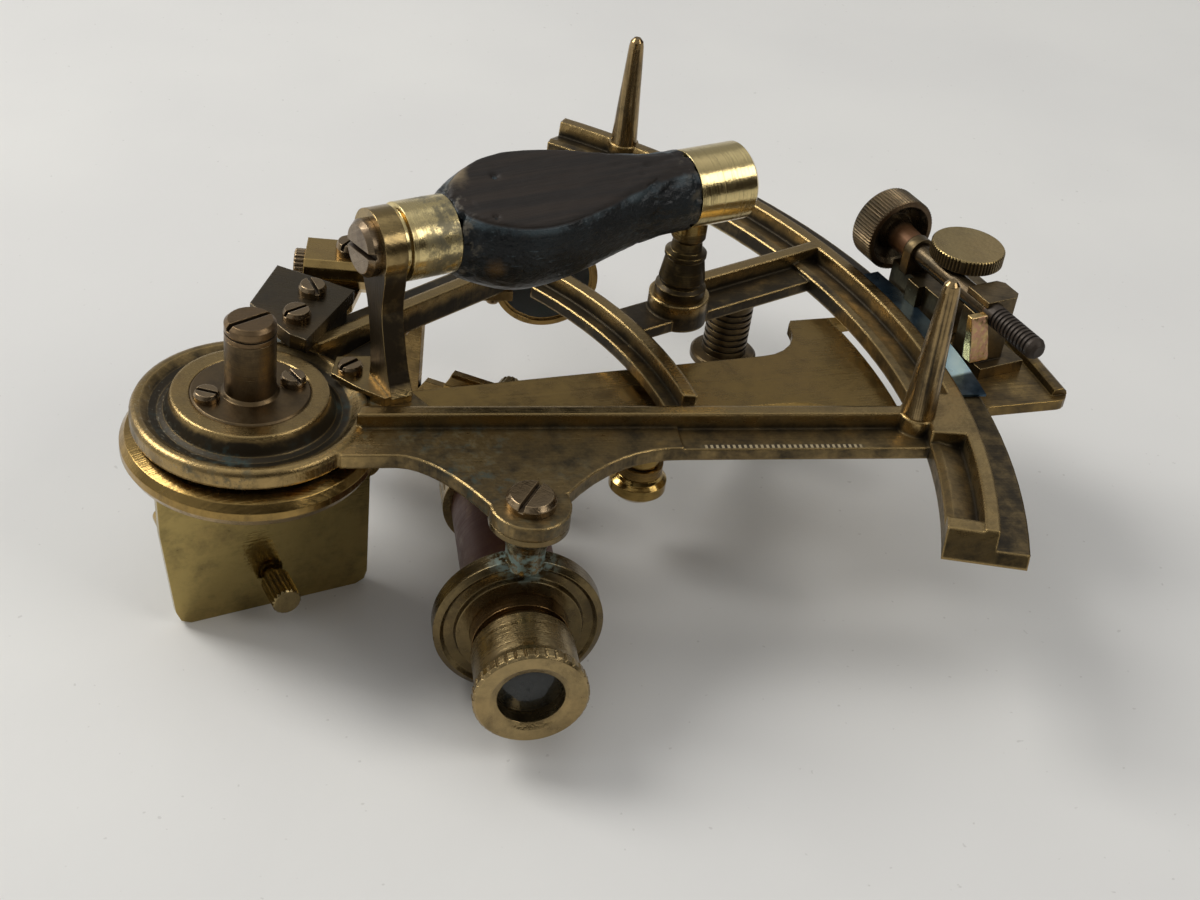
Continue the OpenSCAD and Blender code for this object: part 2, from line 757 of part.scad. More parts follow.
base_top = 3;
shade_base_at = [[27.8, 16.8], [19.6, 11.3]];
base_screw_r = 1.5;
block_low = -5.2;
module index_shade_base() {
  rib_side = limb_in + rib_t + 0.2;
  color("#4a4232") difference() {
    on_far_limb() difference() {
      union() {
        slab(0, base_top) polygon([[14.6, 3.3], [35, 12.6], [28.5, 28.9], [15.4, 20.6]]);
        slab(web_top, eps) polygon([[18.5, rib_side], [24.5, rib_side], [33.5, 12.8],
          [28.5, 28.4], [22, 24]]);
      }
      for (at = shade_base_at) drill(at, base_screw_r, web_top - 1, base_top + 1);
    }
    drill([0, 0], ring_r + 2, web_top - 1, base_top + 1);
    drill([0, 0], hub_r + seat, web_top - 1, 0);
  }
}

module shade_base_screws() {
  color("#8f7a52") on_far_limb() for (at = shade_base_at) {
    translate([at[0], at[1], base_top]) slotted_head(2.8, 2, 0.8, 1.1, at[0] * 9);
    drill(at, base_screw_r, block_low, base_top + eps);
  }
}

// The outer block, in its own layout: x along its length, y away from the base.
// Its foot reaches under the base, where the outer base screw holds it.
block_at = [23.2, 35.7];
block_turn = -26;
block_len = 18.6;
block_w = 10.5;
block_screw_r = 1.6;
block_screw_at = [9, block_w / 2];
module on_block() { place(block_at, block_turn) children(); }
module index_shade_block() {
  color("#94793b") difference() {
    on_block() difference() {
      union() {
        rotate([90, 0, 90]) linear_extrude(block_len) polygon([[0, base_top - 3.4],
          [0.6, base_top - 1.2], [1.8, base_top], [block_w, base_top], [block_w, block_low],
          [3.8, block_low], [1.8, web_top + 0.3]]);
        slab(block_low, web_top) polygon([[0.5, 5], [12, 5], [10.5, -4], [7.2, -9.2],
          [3.5, -13.4], [-0.5, -12.5], [-0.5, -8]]);
      }
      drill(block_screw_at, block_screw_r, -6, base_top + 1);
      translate([-1, 7, -1.6]) rotate([0, 90, 0]) cylinder(r = 1, h = 6);
    }
    on_far_limb() drill(shade_base_at[0], base_screw_r, block_low - 1, web_top + 1);
  }
}

// Its two screws: one down through the block and a knurled one in its end
module shade_block_screw() {
  color("#83704a") on_block() {
    translate([block_screw_at[0], block_screw_at[1], base_top]) slotted_head(2.9, 3, 0.8, 1.2, 60);
    drill(block_screw_at, block_screw_r, block_low + 0.4, base_top + eps);
    translate([-2.4, 7, -1.6]) rotate([0, 90, 0]) {
      knurled(3.4, 2.4, 22, 0.3);
      cylinder(r = 1, h = 7);
    }
  }
}

shade_x = [27, 30.5];
pin_y = 14;
pin_z = -20;
pin_r = 1.4;
ear_t = 1.8;
pin_head = [2.3, 1.6];
shade_reach = norm([pin_y, sight_z - pin_z]);
shade_rest = [16, -4];
ear_x = [shade_x[0] - shade_t / 2 - seat - ear_t, shade_x[1] + shade_t / 2 + seat];
shade_span = ear_x[1] + ear_t - ear_x[0];
shade_screw_y = [11.9, 16.6];

// One ear of a shade bracket, in the plane across its pin
module ear(half, low) {
  linear_extrude(ear_t) polygon([[-half, frame_bottom - 2], [half, frame_bottom - 2], [2.6, low],
    [1.8, low - 2.2], [-1.8, low - 2.2], [-2.6, low]]);
}

module index_shade_bracket() {
  color("#6f5a30") difference() {
    union() {
      on_path(ear_x[0], 10, bracket_low) cube([shade_span, 9, bracket_t]);
      for (x = ear_x) on_path(x, pin_y, 0) rotate([90, 0, 90]) ear(3.4, pin_z);
    }
    on_path(ear_x[0] - 1, pin_y, pin_z) rotate([0, 90, 0]) cylinder(r = pin_r, h = shade_span + 2);
    for (y = shade_screw_y) drill(path_point((shade_x[0] + shade_x[1]) / 2, y), under_r,
      bracket_low - 1, frame_bottom + 1);
  }
}

// A shade pin with its two heads, along +Z from the outer face of its first ear
module shade_pin(span) {
  translate([0, 0, -pin_head[1]]) cylinder(r = pin_head[0], h = pin_head[1]);
  translate([0, 0, -eps]) cylinder(r = pin_r, h = span + 2 * eps);
  translate([0, 0, span]) cylinder(r = pin_head[0], h = pin_head[1]);
}

module index_shade_pin() {
  color("#7a683c") on_path(ear_x[0], pin_y, pin_z) rotate([0, 90, 0]) shade_pin(shade_span);
}

// One shade laid out about its pin, its arm pointing along +X and its pin along Z
shade_hub_r = 3;
shade_rim = 1.8;
module shade_ring(r, reach) {
  difference() {
    union() {
      cylinder(r = shade_hub_r, h = shade_t);
      translate([0, -1.7, 0]) cube([reach - r + 1, 3.4, shade_t]);
      translate([reach, 0, 0]) cylinder(r = r, h = shade_t, $fn = fine);
    }
    translate([0, 0, -1]) cylinder(r = pin_r + run_gap, h = shade_t + 2);
    translate([reach, 0, -1]) cylinder(r = r - shade_rim, h = shade_t + 2, $fn = fine);
    translate([reach, 0, shade_t - 0.5]) cylinder(r = r - shade_rim + 0.6, h = 1, $fn = fine);
  }
}

module shade_glass(r, reach) {
  translate([reach, 0, 0.3]) cylinder(r = r - shade_rim, h = shade_t - 0.8, $fn = fine);
}

module at_index_shade(i) {
  on_path(shade_x[i] - shade_t / 2, pin_y, pin_z) rotate([90, 0, 90])
    rotate([0, 0, shade_rest[i]]) children();
}

module index_shade_ring_1() {
  color("#5b4b2b") at_index_shade(0) shade_ring(index_shade_r, shade_reach);
}
module index_shade_glass_1() {
  color("#31483a") at_index_shade(0) shade_glass(index_shade_r, shade_reach);
}
module index_shade_ring_2() {
  color("#5b4b2b") at_index_shade(1) shade_ring(index_shade_r, shade_reach);
}
module index_shade_glass_2() {
  color("#4a2c22") at_index_shade(1) shade_glass(index_shade_r, shade_reach);
}

// Horizon shades: x along the line of sight from the collar, y to its left

function line_point(x, y) = collar_at + x * sight + y * [-sight[1], sight[0]];
module on_line(x, y, z) { place(collar_at, sight_angle, z) translate([x, y]) children(); }

far_shade_x = [101.4, 105];
far_pin_y = -2.7;
far_pin_z = -16.2;
far_reach = norm([far_pin_y, sight_z - far_pin_z]);
far_rest = -6.2;
far_ear_x = [far_shade_x[0] - shade_t / 2 - seat - ear_t, far_shade_x[1] + shade_t / 2 + seat];
far_span = far_ear_x[1] + ear_t - far_ear_x[0];
far_foot_x = 76;
far_screw_x = [78, 82.2];
far_screw_y = -2.2;
module horizon_shade_bracket() {
  color("#6f5a30") difference() {
    union() {
      on_line(far_foot_x, far_pin_y - 3.5, bracket_low)
        cube([far_ear_x[1] + ear_t - far_foot_x, 8, bracket_t]);
      for (x = far_ear_x) on_line(x, far_pin_y, 0) rotate([90, 0, 90]) ear(3.4, far_pin_z);
    }
    on_line(far_ear_x[0] - 1, far_pin_y, far_pin_z) rotate([0, 90, 0]) cylinder(r = pin_r, h = far_span + 2);
    for (x = far_screw_x) drill(line_point(x, far_screw_y), under_r, bracket_low - 1, frame_bottom + 1);
  }
}

module horizon_shade_pin() {
  color("#7a683c") on_line(far_ear_x[0], far_pin_y, far_pin_z) rotate([0, 90, 0]) shade_pin(far_span);
}

module at_horizon_shade(i) {
  on_line(far_shade_x[i] + shade_t / 2, far_pin_y, far_pin_z) rotate([90, 0, -90])
    rotate([0, 0, far_rest]) children();
}

module horizon_shade_ring_1() {
  color("#5b4b2b") at_horizon_shade(0) shade_ring(horizon_shade_r, far_reach);
}
module horizon_shade_glass_1() {
  color("#31483a") at_horizon_shade(0) shade_glass(horizon_shade_r, far_reach);
}
module horizon_shade_ring_2() {
  color("#5b4b2b") at_horizon_shade(1) shade_ring(horizon_shade_r, far_reach);
}
module horizon_shade_glass_2() {
  color("#4a2c22") at_horizon_shade(1) shade_glass(horizon_shade_r, far_reach);
}

// The small screws that hold the three brackets under the far limb
under_screw_at = [for (y = horizon_screw_y) horizon_point(neck_mid, y),
  for (y = shade_screw_y) path_point((shade_x[0] + shade_x[1]) / 2, y),
  for (x = far_screw_x) line_point(x, far_screw_y)];
module under_screws() {
  color("#8a7345") for (at = under_screw_at) {
    translate([at[0], at[1], bracket_low]) rotate([180, 0, 0]) slotted_head(1.6, 1.3, 0.6, 0.7, 50);
    drill(at, under_r, bracket_low - eps, web_top - 1);
  }
}

// Index arm, laid out along +X and turned to its place

module on_arm() { rotate([0, 0, arm_angle]) children(); }

// The wings reach past the ends of the vernier window
wing_half = arc_r * sin(window_half) + 1.5;
tip_half = 16;
arm_len = arc_r + arm_reach;
module arm_side() {
  steps = 6;
  notch_x = arc_in - 22.1;
  wing_x = arc_in - 12;
  tip_x = arc_r + 6;
  root_x = 5;
  tip_r = 3;
  polygon([[root_x, 0], [root_x, arm_half_in], [34, arm_half_in], [notch_x, arm_half_out],
    for (i = [1:steps]) let (a = 90 * i / steps) [notch_x + (wing_x - notch_x) * sin(a),
      arm_half_out + (wing_half - 1.5 - arm_half_out) * (1 - cos(a))],
    [wing_x + 1, wing_half], [arc_in + 1, wing_half], [tip_x - 4, wing_half - 1],
    [tip_x, tip_half + 1.4], [tip_x + 3, tip_half],
    for (a = [0:22.5:90]) [arm_len - tip_r + tip_r * sin(a), tip_half - tip_r + tip_r * cos(a)],
    [arm_len, 0]]);
}

// The round table that turns under the hub, with the raised seat round the shaft
module arm_table() {
  seat_r = 10;
  seat_top = frame_bottom - 2 * run_gap;
  rotate_extrude($fn = fine) polygon([[shaft_r, table_bottom], [table_r - 3, table_bottom],
    [table_r - 0.9, table_bottom + 0.8], [table_r, table_bottom + 2.4], [table_r, table_top - 2.2],
    [table_r - 1, table_top - 0.7], [table_r - 3, table_top], [seat_r, table_top],
    [seat_r, seat_top], [shaft_r, seat_top]]);
}

window_in = arc_in - 0.4;
window_out = arc_r - 0.4;
stub_r = 1.8;
module index_arm() {
  edge_w = 3.7;
  edge_h = 1.5;
  edge_half = tip_half - 2;
  color("#75602f") on_arm() difference() {
    union() {
      slab(arm_bottom, arm_top) union() {
        arm_side();
        mirror([0, 1]) arm_side();
      }
      arm_table();
      translate([arm_len, edge_half, arm_top]) rotate([90, 0, 0]) linear_extrude(2 * edge_half)
        polygon([[-edge_w, -eps], [-edge_w + 0.5, edge_h - 0.3], [-edge_w + 1.2, edge_h],
          [-1.2, edge_h], [-0.4, edge_h - 0.5], [0, -eps]]);
    }
    slab(arm_bottom - 1, arm_top + 1) sector(window_in, window_out, -window_half, window_half);
    drill([post_x, 0], stub_r, arm_bottom - 1, arm_top - 0.8);
    drill([0, 0], shaft_r, table_bottom - 1, frame_bottom);
  }
}

module vernier_scale() {
  vernier_w = 7;
  color("#cdbf88") on_arm() slab(arm_bottom - scale_t, arm_bottom)
    sector(window_in - vernier_w, window_in - 0.2, -window_half - 1, window_half + 1);
}

// Index mirror, which lies along the frame's own X at rest

plate_y = -7;
glass_y = plate_y + plate_t;
ledge_t = 1.2;
mirror_flange_t = 1.6;
flange_low = table_bottom - mirror_flange_t;
glass_low = rest_z + ledge_t;
glass_high = flange_low - 3.2;
adjust_at = [2, -39.5];
module index_mirror_plate() {
  color("#7d6732") difference() {
    union() {
      translate([0, glass_y, 0]) rotate([90, 0, 0]) linear_extrude(plate_t) polygon([
        [-20.2, table_bottom], [-19.8, table_bottom - 10], [-17.2, rest_z + 3.4], [-16.2, rest_z + 1],
        [-14.2, rest_z], [19.6, rest_z], [21.4, rest_z + 0.9], [22, rest_z + 2.8], [21.6, table_bottom]]);
      translate([-14, plate_y, flange_low]) cube([28, 11, mirror_flange_t]);
      translate([-14, plate_y, rest_z]) cube([33, plate_t + glass_t + 1, ledge_t]);
    }
    translate([adjust_at[0], 0, adjust_at[1]]) rotate([90, 0, 0]) cylinder(r = adjust_r + run_gap, h = 20);
  }
}

module index_mirror_screw() {
  color("#8a7441") translate([adjust_at[0], glass_y - seat, adjust_at[1]]) rotate([90, 0, 0])
    adjusting_screw();
}

module index_glass() {
  color("#a9bcc0") translate([-15, glass_y, glass_low]) cube([34, glass_t, glass_high - glass_low]);
}

// Spring clips over the top of the glass with their screws, and two studs at the plate's edges
module index_mirror_clips() {
  clip_w = 4;
  clip_t = 1;
  glass_face = glass_y + glass_t;
  clip_low = glass_high - 3;
  color("#8d7a4c") {
    for (x = [-10, 11]) {
      translate([x, glass_face, clip_low]) cube([clip_w, clip_t, flange_low - clip_low]);
      translate([x + clip_w / 2, glass_face + clip_t - eps, glass_high + 1.6]) rotate([-90, 0, 0])
        slotted_head(1.5, 1.2, 0.5, 0.6, 25);
    }
    translate([-17.4, glass_y, table_bottom - 9.6]) rotate([-90, 0, 0]) cylinder(r = 2.1, h = 4);
    translate([21.9, glass_y, table_bottom - 5]) rotate([-90, 0, 0]) cylinder(r = 2.6, h = 4);
  }
}

// Magnifier

nut_z = -33.4;
nut_top = -27.6;
swing_t = 2.2;
swing_z = nut_top + seat;
swing_top = swing_z + swing_t;
swing_len = arc_in - 0.5 - post_x;
swing_bore_r = 2.4;
magnifier_rest = 49;
module magnifier_post() {
  shoulder = swing_top + seat;
  color("#a08545") on_arm() translate([post_x, 0, 0]) {
    rotate_extrude() polygon([[0, nut_z + 0.6], [4.6, nut_z + 0.6], [6, nut_z + 2], [6, nut_top - 1.6],
      [5, nut_top - 0.8], [4.6, nut_top], [swing_bore_r, nut_top], [swing_bore_r, shoulder],
      [4, shoulder], [4, arm_bottom - 2], [4.6, arm_bottom - 1.4], [4.6, arm_bottom], [0, arm_bottom]]);
    drill([0, 0], stub_r, arm_bottom - eps, arm_top - 0.8);
  }
}

module on_swing() {
  on_arm() translate([post_x, 0, 0]) rotate([0, 0, magnifier_rest]) children();
}

module magnifier_arm() {
  width = 4.8;
  color("#7a6435") on_swing() difference() {
    slab(swing_z, swing_top) union() {
      circle(width);
      translate([0, -width / 2]) square([swing_len - cell_r + 0.6, width]);
    }
    drill([0, 0], swing_bore_r + run_gap, swing_z - 1, swing_top + 1);
    drill([swing_len, 0], cell_r, swing_z - 1, swing_top + 1);
  }
}

barrel_r = 5;
barrel_top = arm_bottom - scale_t - 0.6;
module magnifier_cell() {
  rings = 7;
  color("#54452a") on_swing() translate([swing_len, 0, 0]) difference() {
    rotate_extrude() polygon([[barrel_r - 1, swing_z], [cell_r - 0.5, swing_z], [cell_r, swing_z + 0.5],
      [cell_r, swing_top - 0.4], [cell_r - 0.5, swing_top], [barrel_r, swing_top + 0.4],
      [barrel_r, barrel_top], [barrel_r - 1, barrel_top]]);
    for (i = [1:rings]) translate([0, 0, swing_top + 0.4 + 1.6 * i]) difference() {
      drill([0, 0], barrel_r + 1, 0, 0.7);
      drill([0, 0], barrel_r - 0.4, -0.1, 1);
    }
  }
}

module magnifier_lens() {
  color("#b9c9c4") on_swing() drill([swing_len, 0], barrel_r - 1, swing_z + 0.6, swing_z + 3.2);
}

// Clamp and tangent screw, in the frame's own directions at rest

tangent_x = arc_r + tangent_out;
nut_y1 = -30.4;
nut_y2 = -23.4;
tower_half = 3.3;
strip_t = 0.5;
strip_low = ledge_top + seat;
strip_top = strip_low + strip_t;
over_strip = strip_top + seat;

// A post across the tangent screw with a round head, from a floor up to the screw
module screw_post(y1, y2, low) {
  translate([tangent_x - tower_half, y1, low]) cube([2 * tower_half, y2 - y1, tangent_z - low]);
  translate([tangent_x, y2, tangent_z]) rotate([90, 0, 0]) cylinder(r = tower_half, h = y2 - y1);
}

module tangent_bore() {
  translate([tangent_x, 10, tangent_z]) rotate([90, 0, 0]) cylinder(r = thread_r + run_gap, h = 60);
}

// A flat-topped block with its corners cut, on a plate that stands on the arm
module tangent_nut() {
  inner_x = ledge_r + 1.6;
  left = tangent_x - 2;
  right = tangent_x + 6.8;
  cut = 1.3;
  plate_top = arm_top + 2.6;
  color("#6b5833") difference() {
    union() {
      translate([inner_x, nut_y1 - 2.4, arm_top]) cube([right - inner_x + 3, 11, plate_top - arm_top]);
      slab(plate_top - eps, tangent_z + 2.9) polygon([[left, nut_y1], [right - cut, nut_y1],
        [right, nut_y1 + cut], [right, nut_y2 - cut], [right - cut, nut_y2], [left, nut_y2]]);
    }
    tangent_bore();
  }
}

// The hammered wedge before the nut's corner, leaning inward and back towards its top
module spring_stop() {
  stop_top = tangent_z + 1.2;
  front = nut_y1 - 2.8;
  color("#9a6a3c") intersection() {
    translate([tangent_x, nut_y1, 0]) rotate([90, 0, 0]) linear_extrude(4)
      polygon([[-5.6, over_strip], [-0.6, over_strip], [-2.9, stop_top], [-7.2, stop_top]]);
    translate([tangent_x - 10, 0, 0]) rotate([90, 0, 90]) linear_extrude(20)
      polygon([[front, over_strip], [nut_y1 + 1, over_strip], [nut_y1 + 1, stop_top],
        [front + 1, stop_top]]);
  }
}

post_y1 = -5.1;
post_y2 = -2.6;
carriage_in = arc_r + 6;
carriage_x = ledge_r + 1.5;
carriage_out = arc_r + 22.5;
carriage_y1 = -16.6;
carriage_y2 = 1.4;
carriage_top = 2.4;
clamp_at = [arc_r + 14.3, -13.3];
lug_y = -10.5;
stem_r = 1.6;
module clamp_carriage() {
  color("#6b5833") difference() {
    union() {
      slab(arm_top + 0.5, carriage_top) polygon([[carriage_x, carriage_y1], [carriage_out - 2, carriage_y1],
        [carriage_out, carriage_y1 + 2], [carriage_out, carriage_y2 - 3], [carriage_out - 3, carriage_y2],
        [carriage_x, carriage_y2]]);
      translate([carriage_in, lug_y, strip_top])
        cube([carriage_x - carriage_in + eps, 4, carriage_top - strip_top]);
      screw_post(post_y1, post_y2, carriage_top - eps);
    }
    tangent_bore();
    drill(clamp_at, stem_r + run_gap, arm_top, 20);
  }
}

// The leaf spring that rides along the ledge outside the rim
module clamp_spring() {
  color("#6f8796") slab(strip_low, strip_top) sector(arc_r + 0.9, ledge_r + 1, -17.2, 1.9);
}

clamp_low = 10;
clamp_t = 3.3;
module clamp_knob() {
  stem_low = arm_top + 1;
  collar = carriage_top + seat;
  color("#8f7a44") translate([clamp_at[0], clamp_at[1], 0]) {
    translate([0, 0, clamp_low]) knurled(clamp_r, clamp_t, 64, 0.3);
    rotate_extrude() polygon([[0, stem_low], [stem_r, stem_low], [stem_r, collar], [2.6, collar],
      [2.2, collar + 1.7], [stem_r, collar + 2.7], [stem_r, clamp_low - 1], [3.4, clamp_low],
      [0, clamp_low]]);
  }
}

screw_tip_y = -45.5;
knob_t = 6.8;
pitch = 1.06;
thread_d = 0.35;
// The head is dished on the post's side, and its neck flares into the dish
module tangent_screw() {
  knob_y = post_y2 + 5.4;
  neck = knob_y - post_y2 - seat;
  length = knob_y - screw_tip_y;
  tip = 1.4;
  color("#6e5c38") translate([tangent_x, knob_y, tangent_z]) rotate([90, 0, 0]) {
    difference() {
      translate([0, 0, -knob_t]) knurled(knob_r, knob_t, 68, 0.3);
      rotate_extrude() polygon([[0, -2.4], [4.4, -2.4], [knob_r - 2.2, -1.2], [knob_r - 1.3, 0],
        [knob_r - 1.3, 1], [0, 1]]);
    }
    rotate_extrude() polygon([[0, -2.6], [4.4, -2.6], [3.6, -1.2], [3.2, 0.8], [3, neck], [0, neck]]);
    difference() {
      cylinder(r = thread_r, h = length - tip);
      // the thread's turns, as grooves where the screw is bare
      for (y = [nut_y1 - 1.9 : -pitch : screw_tip_y + 1.8]) translate([0, 0, knob_y - y]) difference() {
        drill([0, 0], thread_r + 1, 0, pitch * 0.45);
        drill([0, 0], thread_r - thread_d, -0.1, pitch);
      }
    }
    translate([0, 0, length - tip - eps]) rotate_extrude() polygon([[0, 0], [thread_r, 0],
      [thread_r - 0.4, 0.8], [thread_r - 1.1, tip], [0, tip]]);
  }
}

frame();
arc_scale();
leg_near();
leg_far();
pivot_sleeve();
back_screws();
handle_bracket();
handle_screw();
handle_rod();
handle_ferrule_front();
handle_grip();
handle_ferrule_rear();
handle_pillar();
telescope_collar();
collar_screw();
telescope_tube();
objective_cell();
objective_lens();
horizon_bracket();
under_screws();
horizon_bezel();
horizon_glass();
index_shade_base();
shade_base_screws();
index_shade_block();
shade_block_screw();
index_shade_bracket();
index_shade_pin();
horizon_shade_bracket();
horizon_shade_pin();
index_arm();
pivot_shaft();
shaft_cap();
index_mirror_plate();
index_glass();
index_mirror_clips();
vernier_scale();
magnifier_post();
tangent_nut();
spring_stop();
index_mirror_screw();
horizon_mirror_screw();
index_shade_ring_1();
index_shade_glass_1();
index_shade_ring_2();
index_shade_glass_2();
horizon_shade_ring_1();
horizon_shade_glass_1();
horizon_shade_ring_2();
horizon_shade_glass_2();
magnifier_arm();
magnifier_cell();
magnifier_lens();
eyepiece_tube();
eyepiece_cap();
eyepiece_lens();
clamp_carriage();
clamp_spring();
clamp_knob();
tangent_screw();
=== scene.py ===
"""A small brass sextant, lying face down on a pale table.

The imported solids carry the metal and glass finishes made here. The grip and the hammered stop block are modelled
here. Lengths are in metres: the origin is on the pivot's axis, +X to the arc, +Y to the shades, +Z out of the back.
"""
import math

import bpy
from mathutils import Matrix, Vector, noise


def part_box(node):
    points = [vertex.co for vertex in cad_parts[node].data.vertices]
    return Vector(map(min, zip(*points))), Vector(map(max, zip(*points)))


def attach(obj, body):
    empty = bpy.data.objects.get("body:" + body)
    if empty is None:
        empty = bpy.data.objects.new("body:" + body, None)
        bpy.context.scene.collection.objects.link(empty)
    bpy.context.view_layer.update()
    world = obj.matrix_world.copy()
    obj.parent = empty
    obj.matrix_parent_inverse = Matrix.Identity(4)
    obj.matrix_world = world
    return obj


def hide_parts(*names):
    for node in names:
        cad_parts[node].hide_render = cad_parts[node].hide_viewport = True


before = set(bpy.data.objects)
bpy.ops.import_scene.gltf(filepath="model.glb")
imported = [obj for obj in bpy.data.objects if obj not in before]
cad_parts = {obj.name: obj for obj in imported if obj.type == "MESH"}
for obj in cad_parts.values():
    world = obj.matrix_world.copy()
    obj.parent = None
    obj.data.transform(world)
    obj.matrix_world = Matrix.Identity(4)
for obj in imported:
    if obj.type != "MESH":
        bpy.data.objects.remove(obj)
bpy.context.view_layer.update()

# Table, light and camera
# The sextant lies on a pale, slightly mottled table. A window up on the left behind it gives the light, and the
# room on the other side is darker. The camera looks down from the side of the eyepiece.

TABLE_Z = -0.047
TABLE_WIDTH = 6


class Signal:
    """A socket of a finish, with the sums that finishes are written in."""

    def __init__(self, finish, socket):
        self.finish = finish
        self.socket = socket

    def math(self, operation, *terms):
        return self.finish.node("ShaderNodeMath", {"operation": operation}, dict(enumerate(terms)))

    def vector(self, operation, *terms, output=0):
        return self.finish.node("ShaderNodeVectorMath", {"operation": operation}, dict(enumerate(terms)), output)

    def __add__(self, other):
        return self.math("ADD", self, other)

    def __sub__(self, other):
        return self.math("SUBTRACT", self, other)

    def __rsub__(self, other):
        return self.math("SUBTRACT", other, self)

    def __mul__(self, other):
        return self.math("MULTIPLY", self, other)

    __radd__ = __add__
    __rmul__ = __mul__

    def step(self, low, high):
        """0 up to low, 1 from high on, smooth between them; low may be the larger."""
        return self.finish.node("ShaderNodeMapRange", {"interpolation_type": "SMOOTHSTEP"},
                                {0: self, 1: low, 2: high, 3: 0.0, 4: 1.0})

    def along(self, axis):
        return self.vector("DOT_PRODUCT", self, tuple(axis), output=1)

    def length(self):
        return self.vector("LENGTH", self, output=1)

    def beat(self):
        """0.5 at whole numbers, 0 half way between them."""
        part = self.math("FRACT", self) - 0.5
        return part.math("ABSOLUTE", part)


class Finish:
    """A material's node tree, made node by node."""

    def __init__(self, owner):
        owner.use_nodes = True
        self.tree = owner.node_tree
        self.tree.nodes.clear()

    def node(self, kind, settings, inputs, output=0):
        made = self.tree.nodes.new(kind)
        for name, value in settings.items():
            setattr(made, name, value)
        for key, value in inputs.items():
            if isinstance(value, Signal):
                self.tree.links.new(value.socket, made.inputs[key])
            else:
                made.inputs[key].default_value = value
        return Signal(self, made.outputs[output]) if made.outputs else None

    def place(self):
        """Where a point lies in the shared frame, with the part at rest."""
        return self.node("ShaderNodeTexCoord", {}, {}, 3)

    def facing(self):
        return self.node("ShaderNodeNewGeometry", {}, {}, 1)

    def parts(self, vector):
        split = self.node("ShaderNodeSeparateXYZ", {}, {0: vector}).socket.node
        return [Signal(self, socket) for socket in split.outputs]

    def joined(self, x, y, z=0.0):
        return self.node("ShaderNodeCombineXYZ", {}, {0: x, 1: y, 2: z})

    def from_pivot(self, where):
        """How far a point lies from the pivot's axis."""
        x, y, z = self.parts(where)
        return self.joined(x, y).length()

    def mix(self, share, first, second):
        return self.node("ShaderNodeMix", {"data_type": "RGBA"}, {0: share, 6: first, 7: second}, 2)

    def noise(self, where, scale, detail=2.0, rough=0.5):
        return self.node("ShaderNodeTexNoise", {}, {"Vector": where, "Scale": scale, "Detail": detail,
                                                    "Roughness": rough})

    def streaks(self, where, axis, fine, drawn=40.0):
        """Noise drawn out at right angles to axis, as a file or a polishing wheel leaves it."""
        across = where.along(axis) * fine
        slow = self.node("ShaderNodeVectorMath", {"operation": "SCALE"}, {0: where, 3: drawn})
        return self.noise(where.vector("ADD", slow, self.joined(across, across, across)), 1.0)

    def bump(self, height, distance, strength, normal=None):
        inputs = {"Height": height, "Distance": distance, "Strength": strength}
        if normal is not None:
            inputs["Normal"] = normal
        return self.node("ShaderNodeBump", {}, inputs)

    def principled(self, inputs):
        return self.node("ShaderNodeBsdfPrincipled", {}, inputs)

    def surface(self, shader):
        self.node("ShaderNodeOutputMaterial", {}, {0: shader})


def colour(red, green, blue):
    """A colour as it shows on a screen, 0 to 255, as light."""
    return tuple(c / 255 / 12.92 if c < 11 else ((c / 255 + 0.055) / 1.055) ** 2.4
                 for c in (red, green, blue)) + (1.0,)


def select_none():
    if bpy.context.object and bpy.context.object.mode != "OBJECT":
        bpy.ops.object.mode_set(mode="OBJECT")
    bpy.ops.object.select_all(action="DESELECT")


select_none()
bpy.ops.mesh.primitive_plane_add(size=TABLE_WIDTH, location=(0, 0, TABLE_Z))
table = bpy.context.object
table.name = "table_top"
bpy.ops.object.transform_apply()
table_finish = Finish(bpy.data.materials.new("table_paint"))
spot = table_finish.place()
mottle = table_finish.noise(spot, 9.0, 4.0)
specks = table_finish.noise(spot, 600.0, 1.0).step(0.76, 0.8) * 0.25
table_colour = table_finish.mix(mottle.step(0.3, 0.7), colour(222, 221, 218), colour(228, 227, 223))
table_colour = table_finish.mix(specks, table_colour, colour(150, 145, 138))
table_bump = table_finish.bump(table_finish.noise(spot, 260.0, 3.0), 0.0002, 0.3)
table_finish.surface(table_finish.principled({
    "Base Color": table_colour, "Roughness": 0.42, "Specular IOR Level": 0.35, "Normal": table_bump}))
table.data.materials.append(bpy.data.materials["table_paint"])

# The room: bright towards the window, darker away from it, with the blurred dark shapes of furniture
WINDOW = Vector((-0.42, 0.62, 0.66)).normalized()
ROOM_STRENGTH = 0.95
world = bpy.data.worlds.new("room")
bpy.context.scene.world = world
room = Finish(world)
direction = room.node("ShaderNodeTexCoord", {}, {}, 0)
towards = direction.along(WINDOW)
room_colour = room.mix(towards.step(-0.35, 0.85), colour(50, 45, 40), colour(242, 243, 244))
furniture = room.noise(direction, 1.9, 1.0).step(0.44, 0.58)
room_colour = room.mix(furniture * 0.6, room_colour, colour(36, 32, 28))
room.node("ShaderNodeOutputWorld", {}, {0: room.node("ShaderNodeBackground", {}, {0: room_colour, 1: ROOM_STRENGTH})})


def area_light(name, place, target, size, power, tint):
    lamp = bpy.data.lights.new(name, "AREA")
    lamp.shape = "RECTANGLE"
    lamp.size, lamp.size_y = size
    lamp.energy = power
    lamp.color = tint
    holder = bpy.data.objects.new(name, lamp)
    bpy.context.scene.collection.objects.link(holder)
    holder.location = place
    holder.rotation_euler = (Vector(target) - Vector(place)).to_track_quat("-Z", "Y").to_euler()


MIDDLE = (0.07, 0.0, -0.01)
area_light("window_light", (-0.55, 0.62, 0.85), MIDDLE, (0.45, 0.7), 8.8, (1.0, 0.985, 0.96))
area_light("room_light", (0.75, -0.75, 0.85), MIDDLE, (0.8, 0.5), 4.0, (1.0, 0.975, 0.94))

